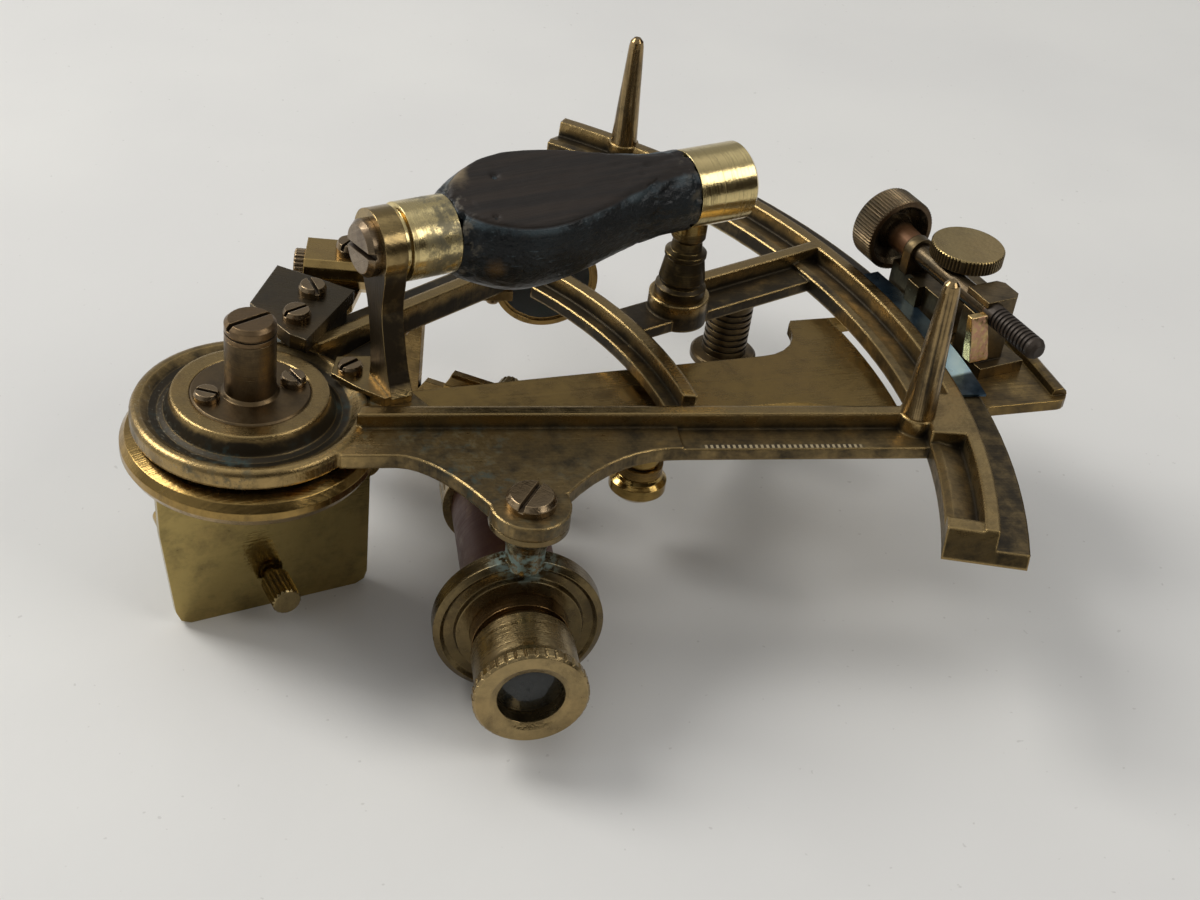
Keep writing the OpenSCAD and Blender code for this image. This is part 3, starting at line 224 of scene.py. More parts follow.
# The camera stands where the photograph was taken from; its three axes are its right, its up and its back
LENS = 54.06
SENSOR = 36
CAMERA_AT = (-0.089516, -0.263893, 0.194040)
CAMERA_AXES = Matrix(((0.88050, -0.46031, 0.11330), (0.19253, 0.56564, 0.80186), (-0.43319, -0.68423, 0.58667)))
camera = bpy.data.objects.new("camera", bpy.data.cameras.new("camera"))
bpy.context.scene.collection.objects.link(camera)
camera.data.lens = LENS
camera.data.sensor_width = SENSOR
camera.data.clip_start = 0.01
camera.matrix_world = Matrix.Translation(CAMERA_AT) @ CAMERA_AXES.transposed().to_4x4()
bpy.context.scene.camera = camera
bpy.context.scene.view_settings.view_transform = "Standard"

# Frame
# One brass casting: a dished hub, ribbed limbs, an ogee lug, a cross bar, and an arc with its rim rib. Its rib tops
# are filed bright, the channels are darker and hold old oxide and dark green salts, and the hub's rounded rim has
# a painted highlight. A silvered, divided strip is let in below.


def dress(name, *nodes):
    for node in nodes:
        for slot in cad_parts[node].material_slots:
            slot.material = bpy.data.materials[name]


def brass(name, clean, oxide, age=0.5, rough=0.3, axis=(0, 1, 0), fine=1700.0, corner=0.0016, edge=0.00025,
          grain=0.3, streak=0.35, more=None, stain=None):
    """Aged brass. Oxide clouds it and fills its corners, its edges are rubbed bright, and the tool's marks run
    across axis. more adds to the oxide, and stain lays a second colour over the whole."""
    finish = Finish(bpy.data.materials.new(name))
    where = finish.place()
    rounded = finish.node("ShaderNodeBevel", {"samples": 6}, {"Radius": edge})
    turned = 1 - rounded.vector("DOT_PRODUCT", rounded, finish.facing(), output=1)
    open_air = finish.node("ShaderNodeAmbientOcclusion", {"samples": 8, "only_local": True}, {"Distance": corner}, 1)
    rubbed = turned.step(0.015, 0.14) * open_air.step(0.55, 0.9)
    clouds = finish.noise(where, 190.0, 6.0, 0.68)
    marks = finish.streaks(where, axis, fine)
    pits = finish.noise(where, 1300.0, 2.0)
    dull = (1 - open_air).step(0.25, 0.85) * 0.9 + (clouds - 0.5) * 1.5 + (marks - 0.5) * streak + (age - 0.12)
    if more:
        dull = dull + more(finish, where)
    dull = (dull - rubbed * 0.9).step(0.0, 1.0)
    tone = finish.mix(dull, clean, oxide)
    warm = finish.noise(where, 60.0, 2.0).step(0.45, 0.7) * 0.2
    tone = finish.mix(warm, tone, finish.mix(dull, colour(162, 130, 84), colour(58, 45, 29)))
    bright = tuple(min(1.0, c * 1.35) for c in clean[:3]) + (1.0,)
    tone = finish.mix(rubbed * 0.65, tone, bright)
    shine = 1.0 - dull * 0.3
    texture = (marks - 0.5) * 0.14 + dull * 0.26 + rough
    if stain:
        cover, paint = stain(finish, where)
        tone = finish.mix(cover, tone, paint)
        shine = shine - cover * 0.6
        texture = texture + cover * 0.3
    height = marks * 0.5 + pits * grain + clouds * 1.1
    finish.surface(finish.principled({
        "Base Color": tone, "Metallic": shine, "Roughness": texture,
        "Normal": finish.bump(height, BRASS_RELIEF, 0.6, rounded)}))


BRASS_RELIEF = 0.0001
RIB_TOP, WEB = -0.0009, -0.0034
RING_R, DISH_R, HUB_RIM_R = 0.0150, 0.0172, 0.0192
ARC_RIB_R = 0.1395


def channel_darkening_and_rim_highlight(finish, where):
    """Darker below the rib tops, more on the far side than the near, and a little darker outside the arc's rib; more
    oxide in the hub's dish round its raised ring; and a painted highlight on the hub's rounded rim, drawn as less
    oxide there.
    """
    x, y, z = finish.parts(where)
    depth = z.step(RIB_TOP, WEB) * (y.step(-0.012, 0.004) * 0.32 + 0.34)
    radius = finish.from_pivot(where)
    dish = radius.step(HUB_RIM_R, DISH_R) * radius.step(RING_R - 0.0015, RING_R) * z.step(-0.0004, -0.0016)
    # The rim term takes oxide off the hub's rounded rim: a painted highlight.
    rim = radius.step(HUB_RIM_R - 0.0012, HUB_RIM_R) * radius.step(0.0300, 0.0240) * -0.34
    arc_ledge = radius.step(ARC_RIB_R, ARC_RIB_R + 0.001) * 0.12
    return depth + dish * 0.6 + rim + arc_ledge


def salts_and_marks(finish, where):
    """Dark green salts round the hub's ring and in the near limb's channel, pale scratches in the dish's far side,
    and a row of small punched marks along the near limb's edge."""
    x, y, z = finish.parts(where)
    low = z.step(-0.0008, -0.0030)
    near = y.step(0.010, -0.004) * x.step(0.07, 0.02)
    crust = finish.noise(where, 420.0, 4.0, 0.7).step(0.46, 0.66) * finish.noise(where, 70.0, 2.0).step(0.40, 0.6)
    scratches = finish.noise(where, 1100.0, 4.0, 0.75).step(0.57, 0.66) * low * x.step(-0.0100, -0.0140)
    along = where.along(LIMB)
    outward = where.along(OUT_OF_LIMB)
    upward = finish.parts(finish.facing())[2]
    row = outward.step(PUNCH_ROW, PUNCH_ROW + 0.0003) * outward.step(PUNCH_ROW + 0.0014, PUNCH_ROW + 0.0011)
    row = row * along.step(PUNCH_FROM, PUNCH_FROM + 0.002) * along.step(PUNCH_TO, PUNCH_TO - 0.002)
    row = row * low * upward.step(0.6, 0.9)
    punched = (along * (1 / PUNCH_STEP)).beat().step(0.22, 0.30) * row
    paint = finish.mix(scratches, colour(36, 56, 52), colour(150, 142, 122))
    paint = finish.mix(row, paint, colour(34, 27, 17))
    paint = finish.mix(punched, paint, colour(188, 172, 136))
    salts = low * near * crust * 0.8
    cover = salts.math("MAXIMUM", salts, scratches * 0.6)
    return cover.math("MAXIMUM", cover, row * 0.75), paint


LIMB_TURN = math.radians(18.25)
LIMB = (math.cos(LIMB_TURN), -math.sin(LIMB_TURN), 0)
OUT_OF_LIMB = (-math.sin(LIMB_TURN), -math.cos(LIMB_TURN), 0)
PUNCH_ROW = 0.0126
PUNCH_STEP = 0.0011
PUNCH_FROM, PUNCH_TO = 0.083, 0.117
OLD_BRASS = colour(166, 141, 94)
OXIDE = colour(48, 41, 28)
# The hub's rounded rim carries a painted highlight, and the channels are darker below the rib tops.
brass("frame_casting", OLD_BRASS, OXIDE, age=0.40, rough=0.21, axis=(0.35, 0.94, 0), fine=2600.0, corner=0.0028,
      edge=0.0008, grain=0.6, streak=0.22, more=channel_darkening_and_rim_highlight, stain=salts_and_marks)
dress("frame_casting", "frame")


def divided(name, first, last, lines, inner, outer):
    """A silvered strip with one fine line for each division and a longer one at each fifth."""
    finish = Finish(bpy.data.materials.new(name))
    where = finish.place()
    x, y, z = finish.parts(where)
    radius = finish.from_pivot(where)
    turn = (y.math("ARCTAN2", y, x) - math.radians(first)) * (lines / math.radians(last - first))
    middle = inner + 0.5 * (outer - inner)
    line = turn.beat().step(0.40, 0.44) * radius.step(middle, middle + 0.0001)
    long_line = (turn * 0.2).beat().step(0.480, 0.486) * radius.step(inner + 0.001, inner + 0.0011)
    ink = (line + long_line).step(0.3, 0.8)
    clouds = finish.noise(where, 130.0, 5.0, 0.65)
    marks = finish.streaks(where, (0, 0, 1), 900.0, 300.0)
    tone = finish.mix(clouds.step(0.42, 0.72), colour(206, 198, 172), colour(132, 112, 72))
    tone = finish.mix(ink, tone, colour(24, 22, 20))
    finish.surface(finish.principled({
        "Base Color": tone, "Metallic": 0.95 - ink * 0.7, "Roughness": clouds * 0.3 + 0.22,
        "Normal": finish.bump(marks - ink * 2.0, 0.00003, 0.5)}))


divided("arc_divisions", -37.5, 37.5, 150, 0.1304, 0.1385)
dress("arc_divisions", "arc_scale")

# Legs
# Two tapered brass legs stand on the frame. They are drawn lengthwise with a file, so their marks run up and down,
# and their tips are worn bright.


def tip_worn(height):
    """Less oxide over a leg's last few millimetres."""
    def wear(finish, where):
        x, y, z = finish.parts(where)
        return z.step(height - 0.004, height) * -0.5
    return wear


for leg_finish, leg, leg_top in (("near_leg_brass", "leg_near", 0.030), ("far_leg_brass", "leg_far", 0.0265)):
    brass(leg_finish, colour(152, 130, 92), OXIDE, age=0.52, rough=0.17, axis=(0.88, -0.46, 0), fine=1500.0,
          streak=1.5, more=tip_worn(leg_top))
    dress(leg_finish, leg)

# Pivot
# A bronze sleeve with a flange, held to the hub by two slotted screws. The arm's shaft turns in it, and a slotted cap
# closes it. It is browner and duller than the casting.

BRONZE = colour(108, 91, 66)
BRONZE_OXIDE = colour(44, 37, 27)
brass("sleeve_bronze", BRONZE, BRONZE_OXIDE, age=0.5, rough=0.29, axis=(0, 0, 1), fine=2200.0, corner=0.002)
dress("sleeve_bronze", "pivot_sleeve")
brass("cap_bronze", colour(126, 104, 76), BRONZE_OXIDE, age=0.45, rough=0.27, axis=(0.3, 0.95, 0), fine=1500.0)
dress("cap_bronze", "shaft_cap", "pivot_shaft")
brass("screw_bronze", colour(150, 130, 102), colour(50, 42, 33), age=0.36, rough=0.17, axis=(0.8, 0.5, 0.3),
      fine=2400.0, corner=0.0012, edge=0.0003)
dress("screw_bronze", "back_screws", "collar_screw", "shade_base_screws", "shade_block_screw", "under_screws")

# Handle
# A brass bracket with a round head holds the front end with one big screw. A steel rod runs through two brushed
# ferrules and the ebonised grip, and a turned pillar under the rear ferrule carries the other end.

HANDLE_TURN = math.radians(2.94)
ALONG_HANDLE = (math.cos(HANDLE_TURN), math.sin(HANDLE_TURN), 0.0)


def painted_dark_band(node, low, high, amount):
    """Painted shade, a dark reflection of the room: more oxide over the part of a node's height between the shares
    low and high.
    """
    foot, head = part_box(node)
    tall = head.z - foot.z

    def dark_band_mask(finish, where):
        x, y, z = finish.parts(where)
        below = z.step(foot.z + tall * high, foot.z + tall * (high - 0.12))
        return z.step(foot.z + tall * low, foot.z + tall * (low + 0.08)) * below * amount
    return dark_band_mask


# The bracket's leg is darkened over most of its height: painted shade, the dark room it reflects.
brass("bracket_brass", colour(158, 136, 92), colour(44, 35, 20), age=0.36, rough=0.15, axis=(0.2, 0.97, 0),
      fine=1600.0, more=painted_dark_band("handle_bracket", 0.06, 0.80, 0.75))
dress("bracket_brass", "handle_bracket")
brass("end_screw_bronze", colour(134, 117, 94), colour(58, 42, 28), age=0.4, rough=0.23, axis=(0, 0.6, 0.8),
      fine=1500.0)
dress("end_screw_bronze", "handle_screw")


def handle_stain(finish, where):
    """Blue-grey lacquer smears on the front ferrule, where it meets the wood."""
    along = where.along(ALONG_HANDLE)
    smear = along.step(0.0290, 0.0350) * along.step(0.0600, 0.0500)
    return smear * finish.noise(where, 330.0, 4.0, 0.7).step(0.36, 0.58) * 0.8, colour(66, 68, 62)


brass("ferrule_brass", colour(222, 202, 146), colour(104, 88, 56), age=0.22, rough=0.15, axis=ALONG_HANDLE,
      fine=2100.0, edge=0.0002, streak=1.3, stain=handle_stain)
dress("ferrule_brass", "handle_ferrule_front", "handle_ferrule_rear")
# The pillar is darkened below its top: painted shade, the dark room it reflects.
brass("pillar_brass", colour(160, 136, 84), colour(46, 36, 18), age=0.32, rough=0.13, axis=(0, 0, 1), fine=2600.0,
      more=painted_dark_band("handle_pillar", 0.0, 0.86, 0.6))
dress("pillar_brass", "handle_pillar")
brass("rod_steel", colour(150, 148, 142), colour(70, 64, 56), age=0.3, rough=0.27, axis=ALONG_HANDLE, fine=2600.0)
dress("rod_steel", "handle_rod")

# Wooden grip
# Ebonised hardwood, turned, then planed flat on top. It is a circle extruded along the handle, cut by the plane, and
# roughened: the ends are chipped against the ferrules, and the flat has two pits and a worn pale patch.

HANDLE_AT = Vector((0.026, 0.0032, 0.025))
GRIP_FROM, GRIP_TO = 0.0132, 0.0663
GRIP_ENDS = (0.0075, 0.0082)
GRIP_SWELL = 0.0133
GRIP_PEAK = 0.3
FLAT_LEAN = math.radians(12)
FLAT_HEIGHT = 0.008
STATIONS = 26
GRIP_VOXEL = 0.00045
ahead = Vector(ALONG_HANDLE)
aside = Vector((-ahead.y, ahead.x, 0))
flat_normal = aside * -math.sin(FLAT_LEAN) + Vector((0, 0, math.cos(FLAT_LEAN)))


def grip_radius(share):
    if share < GRIP_PEAK:
        rise = math.sin(math.pi / 2 * share / GRIP_PEAK) ** 0.85
        return GRIP_ENDS[0] + (GRIP_SWELL - GRIP_ENDS[0]) * rise
    fall = math.cos(math.pi / 2 * (share - GRIP_PEAK) / (1 - GRIP_PEAK)) ** 2.8
    return GRIP_ENDS[1] + (GRIP_SWELL - GRIP_ENDS[1]) * fall


def apply_modifier(mesh_object, kind, **settings):
    modifier = mesh_object.modifiers.new(kind.lower(), kind)
    for name, value in settings.items():
        setattr(modifier, name, value)
    bpy.ops.object.modifier_apply(modifier=modifier.name)


select_none()
grip_start = HANDLE_AT + ahead * GRIP_FROM
bpy.ops.mesh.primitive_circle_add(vertices=64, radius=GRIP_ENDS[0], fill_type="NGON", location=grip_start,
                                  rotation=(0, math.pi / 2, HANDLE_TURN))
grip = bpy.context.object
grip.name = "grip_wood"
bpy.ops.object.transform_apply()
bpy.ops.object.mode_set(mode="EDIT")
bpy.ops.mesh.select_all(action="SELECT")
grip_length = GRIP_TO - GRIP_FROM
radius_now = GRIP_ENDS[0]
for station in range(1, STATIONS + 1):
    share = station / STATIONS
    bpy.ops.mesh.extrude_region_move(TRANSFORM_OT_translate={"value": ahead * (grip_length / STATIONS)})
    wanted = grip_radius(share)
    ring_centre = grip_start + ahead * (grip_length * share)
    bpy.ops.transform.resize(value=(wanted / radius_now,) * 3, center_override=ring_centre)
    radius_now = wanted
bpy.ops.mesh.select_all(action="SELECT")
bpy.ops.mesh.bisect(plane_co=HANDLE_AT + flat_normal * FLAT_HEIGHT, plane_no=flat_normal, use_fill=True,
                    clear_outer=True)
bpy.ops.mesh.select_all(action="SELECT")
bpy.ops.mesh.normals_make_consistent(inside=False)
bpy.ops.object.mode_set(mode="OBJECT")
apply_modifier(grip, "REMESH", mode="VOXEL", voxel_size=GRIP_VOXEL)
apply_modifier(grip, "SMOOTH", factor=0.5, iterations=1)

# Chips, pits and the hand's wear, cut into the surface. A pit is given by its place along and across the flat and
# its radius.
PITS = [(0.0245, 0.0028, 0.0007), (0.0195, -0.0078, 0.0005)]
PIT_DEPTH = 0.0010
RAGGED_REACH = 0.0042
GOUGES_AT, GOUGES_REACH = 0.056, 0.010
GOUGES_BELOW = 0.009
grip_normals = [vertex.normal.copy() for vertex in grip.data.vertices]
for vertex, outward in zip(grip.data.vertices, grip_normals):
    place = vertex.co - HANDLE_AT
    along = place.dot(ahead)
    side = place.dot(aside)
    lumps = noise.noise(vertex.co * 140) * 0.00014 + noise.noise(vertex.co * 420) * 0.00008
    grain_line = noise.noise(Vector((along * 60, side * 700, place.z * 700))) * 0.00007
    from_end = min(along - GRIP_FROM, GRIP_TO - along)
    ragged = max(0.0, 1 - from_end / RAGGED_REACH)
    chip = max(0.0, noise.noise(vertex.co * 520 + Vector((3, 1, 7))) - 0.02) * 0.0017 * ragged
    gouge_zone = max(0.0, 1 - abs(along - GOUGES_AT) / GOUGES_REACH) * (1.0 if place.z < GOUGES_BELOW else 0.0)
    gouge = max(0.0, noise.noise(Vector((along * 330, side * 520, place.z * 900))) - 0.1) * 0.0011 * gouge_zone
    pit = 0.0
    for pit_along, pit_side, pit_r in PITS:
        gap = math.hypot(along - pit_along, side - pit_side)
        if place.z > 0:
            pit += math.exp(-(gap / pit_r) ** 2) * PIT_DEPTH
    vertex.co += outward * (lumps + grain_line - chip - gouge - pit)
grip.data.update()

PALE_ALONG, PALE_SIDE = 0.0170, 0.0060
LOW_PATCH = (0.0185, -0.0112, -0.0035)
# A blue-grey for scuffs in the lacquer and for the painted highlight below the flat's ridge.
SCUFF_AND_SHEEN_GREY = colour(84, 98, 104)
GRIP_RELIEF = 0.00022


def ebonised(name):
    """Dark wood: brown-grey grain on the planed flat, blue-black lacquer on the sides, pale where it is rubbed, and a
    painted blue-grey highlight on the sides just below the flat's ridge.
    """
    finish = Finish(bpy.data.materials.new(name))
    where = finish.place()
    around = finish.node("ShaderNodeVectorMath", {"operation": "SUBTRACT"}, {0: where, 1: tuple(HANDLE_AT)})
    along, side, height = (around.along(axis) for axis in (ahead, aside, flat_normal))

    def grained(lengthwise, across, detail, rough):
        drawn = finish.joined(along * lengthwise, side * across, height * across)
        return finish.noise(drawn, 1.0, detail, rough)

    fibres = grained(45.0, 1500.0, 4.0, 0.65)
    bands = grained(30.0, 420.0, 3.0, 0.6)
    scratch = grained(300.0, 1500.0, 3.0, 0.7)
    on_flat = height.step(FLAT_HEIGHT - 0.0009, FLAT_HEIGHT - 0.0004)
    clouds = finish.noise(where, 160.0, 4.0, 0.6)
    planed = finish.mix(bands.step(0.35, 0.68), colour(26, 20, 15), colour(40, 31, 23))
    planed = finish.mix(fibres.step(0.5, 0.75) * 0.6, planed, colour(22, 18, 15))
    lacquer = finish.mix(clouds.step(0.35, 0.7), colour(11, 15, 17), colour(24, 31, 34))
    lacquer = finish.mix(scratch.step(0.60, 0.74) * 0.5, lacquer, SCUFF_AND_SHEEN_GREY)
    tone = finish.mix(on_flat, lacquer, planed)
    # Painted highlight: a blue-grey band in clouds on the sides, just below the flat's ridge.
    ridge_sheen = height.step(FLAT_HEIGHT - 0.0022, FLAT_HEIGHT - 0.0010) * (1 - on_flat)
    tone = finish.mix(ridge_sheen * clouds.step(0.35, 0.6) * 0.6, tone, SCUFF_AND_SHEEN_GREY)
    patch = finish.joined(along - PALE_ALONG, (side - PALE_SIDE) * 0.7).length()
    pale = (patch + (clouds - 0.5) * 0.004).step(0.0034, 0.0012)
    tone = finish.mix(pale * on_flat * 0.75, tone, colour(134, 118, 92))
    bare = finish.noise(where, 330.0, 3.0, 0.7)
    from_middle = along.math("ABSOLUTE", along - (GRIP_FROM + GRIP_TO) / 2)
    ends = from_middle.step(grip_length / 2 - 0.0045, grip_length / 2 - 0.0005) * bare.step(0.5, 0.66)
    tone = finish.mix(ends * 0.6, tone, colour(120, 112, 96))
    low_patch = (around.vector("DISTANCE", around, LOW_PATCH, output=1)
                 + (clouds - 0.5) * 0.004).step(0.0036, 0.0016)
    tone = finish.mix(low_patch * 0.7, tone, colour(112, 84, 44))
    crackle = finish.noise(where, 700.0, 3.0, 0.65) * (1 - on_flat)
    height_map = fibres * 0.5 + scratch * 0.35 + bare * 0.35 + crackle * 2.6
    finish.surface(finish.principled({
        "Base Color": tone, "Roughness": fibres * 0.25 + 0.22 + on_flat * 0.22, "Specular IOR Level": 0.33,
        "Normal": finish.bump(height_map, GRIP_RELIEF, 0.8)}))


ebonised("ebonised_wood")
grip.data.materials.clear()
grip.data.materials.append(bpy.data.materials["ebonised_wood"])
bpy.ops.object.shade_smooth()
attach(grip, "frame")
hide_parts("handle_grip")

# Telescope
# A turned collar ring on a flared stem, held under the lug by one screw, carries a red-brown lacquered body tube. The
# draw tube slides in it and has a knurled cap with the eye lens. The stem's foot has green salts on it.

SIGHT_TURN = math.radians(71.5)
ALONG_SIGHT = (math.cos(SIGHT_TURN), math.sin(SIGHT_TURN), 0.0)
STEM_X, STEM_Y, STEM_FOOT = 0.0367, -0.0443, -0.0150


def stem_salts(finish, where):
    """Pale blue-green crust round the joint of stem and ring."""
    x, y, z = finish.parts(where)
    gap = finish.joined(x - STEM_X, y - STEM_Y, (z - STEM_FOOT) * 1.3).length()
    crust = finish.noise(where, 650.0, 4.0, 0.7)
    return gap.step(0.0085, 0.0040) * crust.step(0.42, 0.60) * 0.8, colour(122, 146, 142)


brass("collar_brass", colour(118, 102, 70), colour(54, 44, 30), age=0.42, rough=0.18, axis=ALONG_SIGHT,
      fine=1900.0, stain=stem_salts)
dress("collar_brass", "telescope_collar")


def red_lacquer(finish, where):
    """The tube's brown-red lacquer starts a little beyond the collar."""
    x, y, z = finish.parts(where)
    along = (x - STEM_X) * ALONG_SIGHT[0] + (y - STEM_Y) * ALONG_SIGHT[1]
    worn = finish.noise(where, 260.0, 4.0, 0.65)
    return along.step(0.0050, 0.0062) * (worn.step(0.72, 0.5) * 0.4 + 0.5), colour(72, 31, 18)


brass("tube_lacquer", colour(118, 92, 58), colour(44, 32, 22), age=0.45, rough=0.15, axis=ALONG_SIGHT, fine=900.0,
      stain=red_lacquer)
dress("tube_lacquer", "telescope_tube")
brass("draw_tube_brass", colour(128, 104, 68), colour(50, 40, 26), age=0.4, rough=0.13, axis=ALONG_SIGHT,
      fine=2200.0)
dress("draw_tube_brass", "eyepiece_tube")
brass("eyepiece_brass", colour(160, 139, 98), colour(66, 56, 38), age=0.40, rough=0.20, axis=ALONG_SIGHT,
      fine=1500.0, edge=0.0002, grain=0.8)
dress("eyepiece_brass", "eyepiece_cap", "objective_cell")


def glass(name, tint, dust):
    """Lens glass with a little dust and finger grease on it."""
    finish = Finish(bpy.data.materials.new(name))
    where = finish.place()
    grease = finish.noise(where, 300.0, 4.0, 0.6).step(0.45, 0.75)
    clear = finish.principled({
        "Base Color": tint, "Roughness": grease * 0.12 + 0.03, "Transmission Weight": 1.0, "IOR": 1.5})
    film = finish.principled({
        "Base Color": colour(30, 34, 33), "Roughness": 0.35, "Coat Weight": 0.5, "Coat Roughness": 0.05,
        "Specular IOR Level": 0.25})
    finish.surface(finish.node("ShaderNodeMixShader", {}, {0: grease * 0.3 + dust, 1: clear, 2: film}))


glass("dusty_glass", colour(70, 80, 76), 0.62)
dress("dusty_glass", "eyepiece_lens", "objective_lens", "magnifier_lens")

# Horizon mirror
# A brass plate with a bezel stands under the far limb. Its glass is silvered on the half away from the frame and
# clear on the other, and a knurled screw from behind trims it.

BRACKET_BRASS = colour(156, 130, 84)
brass("horizon_plate_brass", BRACKET_BRASS, OXIDE, age=0.4, rough=0.23, axis=(0, 0, 1), fine=1500.0)
dress("horizon_plate_brass", "horizon_bracket")
brass("bezel_brass", colour(170, 138, 80), OXIDE, age=0.3, rough=0.19, axis=(0.7, 0.7, 0), fine=1800.0)
dress("bezel_brass", "horizon_bezel")


def silvered(name, clear_below=None):
    """Mirror glass, tarnished at its rim; below the given height it is left clear."""
    finish = Finish(bpy.data.materials.new(name))
    where = finish.place()
    x, y, z = finish.parts(where)
    tarnish = finish.noise(where, 240.0, 5.0, 0.7).step(0.52, 0.8)
    tone = finish.mix(tarnish * 0.6, colour(226, 230, 228), colour(120, 112, 92))
    mirror = finish.principled({
        "Base Color": tone, "Metallic": 1.0, "Roughness": tarnish * 0.3 + 0.03})
    if clear_below is None:
        finish.surface(mirror)
        return
    clear = finish.principled({
        "Base Color": colour(225, 234, 230), "Roughness": tarnish * 0.1 + 0.02, "Transmission Weight": 1.0,
        "IOR": 1.5})
    share = z.step(clear_below + 0.0001, clear_below - 0.0001)
    finish.surface(finish.node("ShaderNodeMixShader", {}, {0: share, 1: mirror, 2: clear}))


silvered("horizon_silver", clear_below=-0.031)
dress("horizon_silver", "horizon_glass")

# Shades
# A dark bronze base and a filed brass block sit on the far limb, and the index shades hang below on their pin. Two
# horizon shades hang near the horizon mirror. Each is a coloured glass in a thin brass ring, green or red.

brass("shade_base_bronze", colour(90, 80, 63), colour(40, 36, 29), age=0.5, rough=0.23, axis=(0.5, 0.86, 0),
      fine=1100.0, edge=0.00035)
dress("shade_base_bronze", "index_shade_base")
brass("shade_block_brass", colour(180, 152, 96), colour(84, 66, 38), age=0.3, rough=0.20, axis=(0.43, 0.9, 0),
      fine=1500.0, edge=0.00035)
dress("shade_block_brass", "index_shade_block")
brass("shade_bracket_brass", BRACKET_BRASS, OXIDE, age=0.42, rough=0.23, axis=(0.6, 0.8, 0), fine=1500.0)
dress("shade_bracket_brass", "index_shade_bracket", "horizon_shade_bracket", "index_shade_pin",
      "horizon_shade_pin")
brass("shade_ring_brass", colour(160, 130, 78), colour(60, 48, 28), age=0.35, rough=0.18, axis=(0.9, 0.4, 0),
      fine=1800.0)
dress("shade_ring_brass", "index_shade_ring_1", "index_shade_ring_2", "horizon_shade_ring_1",
      "horizon_shade_ring_2")
glass("shade_green_glass", colour(44, 84, 58), 0.12)
dress("shade_green_glass", "index_shade_glass_1", "horizon_shade_glass_1")
glass("shade_red_glass", colour(110, 34, 24), 0.12)
dress("shade_red_glass", "index_shade_glass_2", "horizon_shade_glass_2")

# Index arm
# A flat brass arm with a round table under the hub and a window over the arc, where a silvered vernier lies.

ARM_TURN = math.radians(10.2)
ACROSS_ARM = (math.sin(ARM_TURN), math.cos(ARM_TURN), 0.0)


def tip_dirt(finish, where):
    """The arm's end lies beyond the frame and is darker."""
    return finish.from_pivot(where).step(0.1440, 0.1475) * 0.34


brass("arm_brass", colour(160, 132, 78), colour(70, 57, 34), age=0.38, rough=0.18, axis=ACROSS_ARM, fine=1300.0,
      edge=0.0003, more=tip_dirt)
dress("arm_brass", "index_arm")
divided("vernier_divisions", -18.2, -1.2, 60, 0.1218, 0.1286)
dress("vernier_divisions", "vernier_scale")

# Index mirror
# An olive-gold sheet brass plate hangs under the round table. It carries the silvered glass, two spring clips with
# their screws, and a knurled screw that trims it from behind.

brass("mirror_plate_brass", colour(166, 146, 92), colour(74, 64, 40), age=0.30, rough=0.15, axis=(0, 0.2, 1),
      fine=1700.0, grain=0.5, streak=0.12)
dress("mirror_plate_brass", "index_mirror_plate")
silvered("index_silver")
dress("index_silver", "index_glass")
brass("clip_brass", colour(172, 146, 90), colour(80, 64, 38), age=0.3, rough=0.18, axis=(1, 0, 0), fine=1500.0)
dress("clip_brass", "index_mirror_clips")
brass("trim_screw_brass", colour(150, 132, 92), colour(54, 45, 28), age=0.42, rough=0.18, axis=(0.9, 0.4, 0),
      fine=2000.0, edge=0.0002)
dress("trim_screw_brass", "index_mirror_screw", "horizon_mirror_screw")

# Magnifier
# A turned brass post under the arm carries a swing arm with a small blackened cell, which looks at the vernier.

brass("magnifier_post_brass", colour(184, 154, 90), colour(70, 54, 28), age=0.3, rough=0.11, axis=(0, 0, 1),
      fine=2200.0)
dress("magnifier_post_brass", "magnifier_post")
brass("magnifier_arm_brass", colour(154, 124, 70), OXIDE, age=0.4, rough=0.23, axis=(0, 0, 1), fine=1500.0)
dress("magnifier_arm_brass", "magnifier_arm")
brass("magnifier_cell_bronze", colour(104, 86, 56), colour(34, 29, 22), age=0.5, rough=0.25, axis=(0, 0, 1),
      fine=2200.0)
dress("magnifier_cell_bronze", "magnifier_cell")

# Clamp and tangent screw
# The nut and the sliding carriage are dull brass. A knurled thumb knob clamps the carriage, a blued leaf spring
# bears on the arc's ledge, and the fine screw with its knurled head draws the arm along.

brass("clamp_block_brass", colour(118, 101, 70), colour(40, 34, 25), age=0.58, rough=0.25, axis=(0.5, 0.8, 0.2),
      fine=1300.0, edge=0.0003)
dress("clamp_block_brass", "tangent_nut", "clamp_carriage")


def side_shade_and_grime(finish, where):
    """Every face that does not look up gets more oxide: painted shade on the knob's knurled sides, and dirt between
    the ridges; the top is clean.
    """
    x, y, upward = finish.parts(finish.facing())
    return upward.step(0.8, 0.4) * 0.8


# The knob's sides are darkened: painted shade, with dirt in the knurling.
brass("clamp_knob_brass", colour(170, 148, 100), colour(60, 49, 31), age=0.26, rough=0.18, axis=(0.7, 0.7, 0),
      fine=1500.0, edge=0.0003, more=side_shade_and_grime)
dress("clamp_knob_brass", "clamp_knob")


THREAD_FROM = -0.0290
RUBBED_FROM, RUBBED_TO = -0.0250, -0.0356


def screw_tints(finish, where):
    """Oil has turned the thread grey-brown, and the neck by the head is orange-brown."""
    x, y, z = finish.parts(where)
    thread = y.step(THREAD_FROM, THREAD_FROM - 0.0010)
    neck = y.step(-0.0060, -0.0030) * y.step(0.0034, 0.0016)
    return thread * 0.8 + neck * 0.55, finish.mix(thread, colour(116, 70, 30), colour(54, 45, 39))


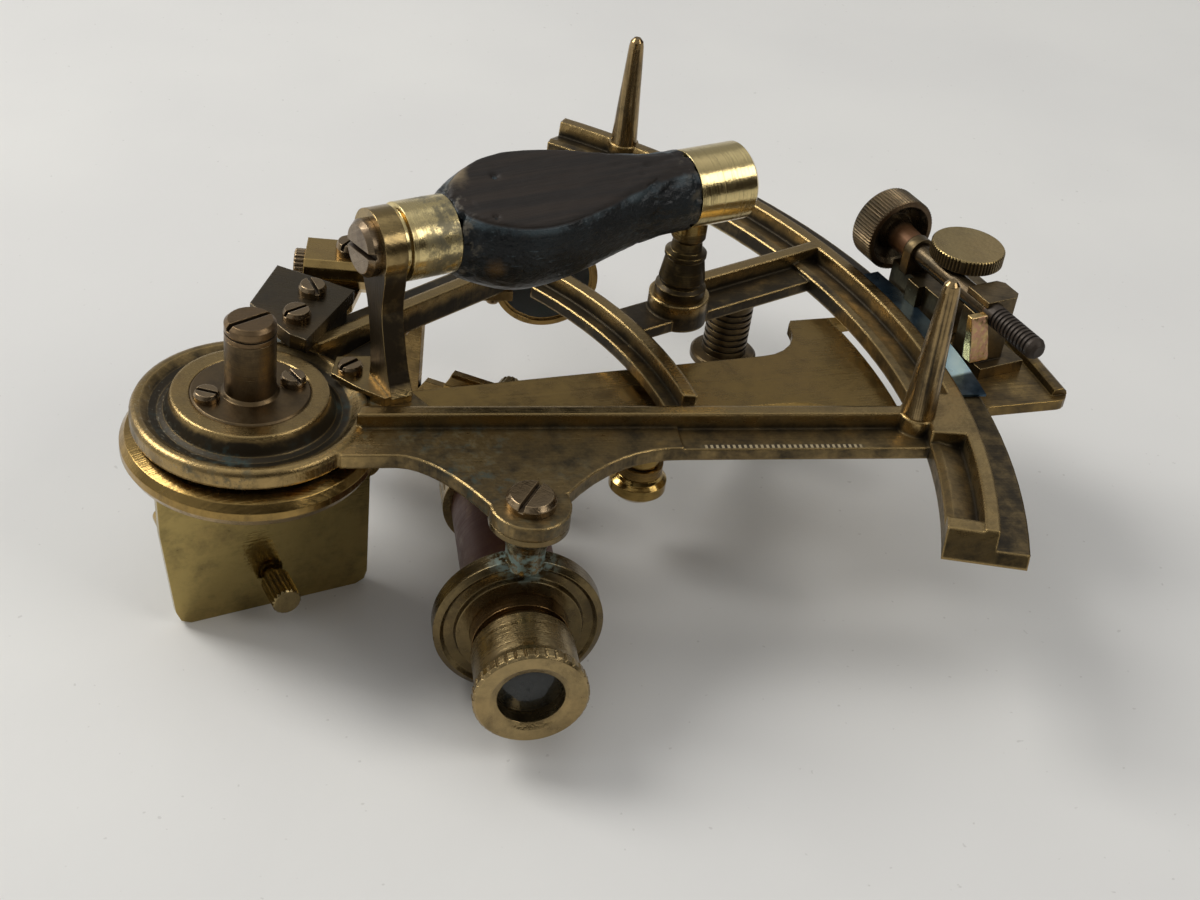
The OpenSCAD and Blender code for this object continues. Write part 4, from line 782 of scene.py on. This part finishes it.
brass("tangent_screw_bronze", colour(82, 73, 57), colour(30, 26, 21), age=0.52, rough=0.19, axis=(1, 0, 0.4),
      fine=1700.0, edge=0.0002, stain=screw_tints)
dress("tangent_screw_bronze", "tangent_screw")


def blued_steel(name):
    """A thin steel strip, blued by heat, and rubbed pale where it bears on the ledge."""
    finish = Finish(bpy.data.materials.new(name))
    where = finish.place()
    clouds = finish.noise(where, 200.0, 4.0, 0.6)
    marks = finish.streaks(where, (1, 0, 0), 1800.0)
    x, y, z = finish.parts(where)
    tone = finish.mix(clouds.step(0.35, 0.65), colour(40, 58, 72), colour(72, 92, 106))
    bare = y.step(RUBBED_FROM + 0.0015, RUBBED_FROM - 0.0015) * y.step(RUBBED_TO - 0.0006, RUBBED_TO + 0.0006)
    tone = finish.mix(bare * 0.9, tone, colour(190, 226, 242))
    tone = finish.mix(marks.step(0.6, 0.8) * 0.4, tone, colour(70, 84, 92))
    finish.surface(finish.principled({
        "Base Color": tone, "Metallic": 0.8 - bare * 0.4, "Roughness": clouds * 0.2 + 0.2,
        "Normal": finish.bump(marks, 0.00004, 0.5)}))


blued_steel("spring_blue")
dress("spring_blue", "clamp_spring")

# Stop block
# A small wedge of copper-coloured alloy by the nut's corner, hammered all over. It leans inward and back, and its top
# is filed to a golden face.

STOP_TOP_W = 0.0043
STOP_FOOT_W = 0.0050
STOP_LEAN = 0.0010
STOP_CUTS = 14
DINT_DEPTH = 0.0008
select_none()
block_lo, block_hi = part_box("spring_stop")
bpy.ops.mesh.primitive_cube_add(size=1, location=(block_lo + block_hi) / 2)
block = bpy.context.object
block.name = "stop_block"
block.scale = block_hi - block_lo
bpy.ops.object.transform_apply()
for corner in block.data.vertices:
    inner = corner.co.x < (block_lo.x + block_hi.x) / 2
    if corner.co.z > (block_lo.z + block_hi.z) / 2:
        corner.co.x = block_lo.x if inner else block_lo.x + STOP_TOP_W
        corner.co.y += STOP_LEAN if corner.co.y < (block_lo.y + block_hi.y) / 2 else 0.0
    else:
        corner.co.x = block_hi.x - STOP_FOOT_W if inner else block_hi.x
apply_modifier(block, "BEVEL", width=0.0003, segments=3)
bpy.ops.object.mode_set(mode="EDIT")
bpy.ops.mesh.select_all(action="SELECT")
bpy.ops.mesh.subdivide(number_cuts=STOP_CUTS)
bpy.ops.object.mode_set(mode="OBJECT")
block_normals = [vertex.normal.copy() for vertex in block.data.vertices]
for vertex, outward in zip(block.data.vertices, block_normals):
    dint = noise.voronoi(vertex.co * 620)[0][0]
    front = max(0.0, -outward.y)
    vertex.co += outward * (max(0.0, 0.42 - dint) * -DINT_DEPTH * front + noise.noise(vertex.co * 900) * 0.00008)
block.data.update()
bpy.ops.object.shade_smooth()


def copper_and_sheen_front(finish, where):
    """Pink copper in flecks on the hammered front, partly the alloy's own colour and partly a painted copper-coloured
    reflection; the top and sides keep the gold of the alloy.
    """
    x, forward, z = finish.parts(finish.facing())
    flecks = finish.noise(where, 700.0, 3.0, 0.7).step(0.42, 0.58)
    return forward.step(-0.5, -0.8) * (flecks * 0.6 + 0.1), colour(226, 170, 144)


# The pink on the front faces is partly a painted reflection.
brass("hammered_copper", colour(192, 166, 112), colour(88, 66, 44), age=0.25, rough=0.27, axis=(0.2, 0.2, 1),
      fine=900.0, edge=0.0002, stain=copper_and_sheen_front)
block.data.materials.append(bpy.data.materials["hammered_copper"])
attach(block, "index_arm")
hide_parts("spring_stop")
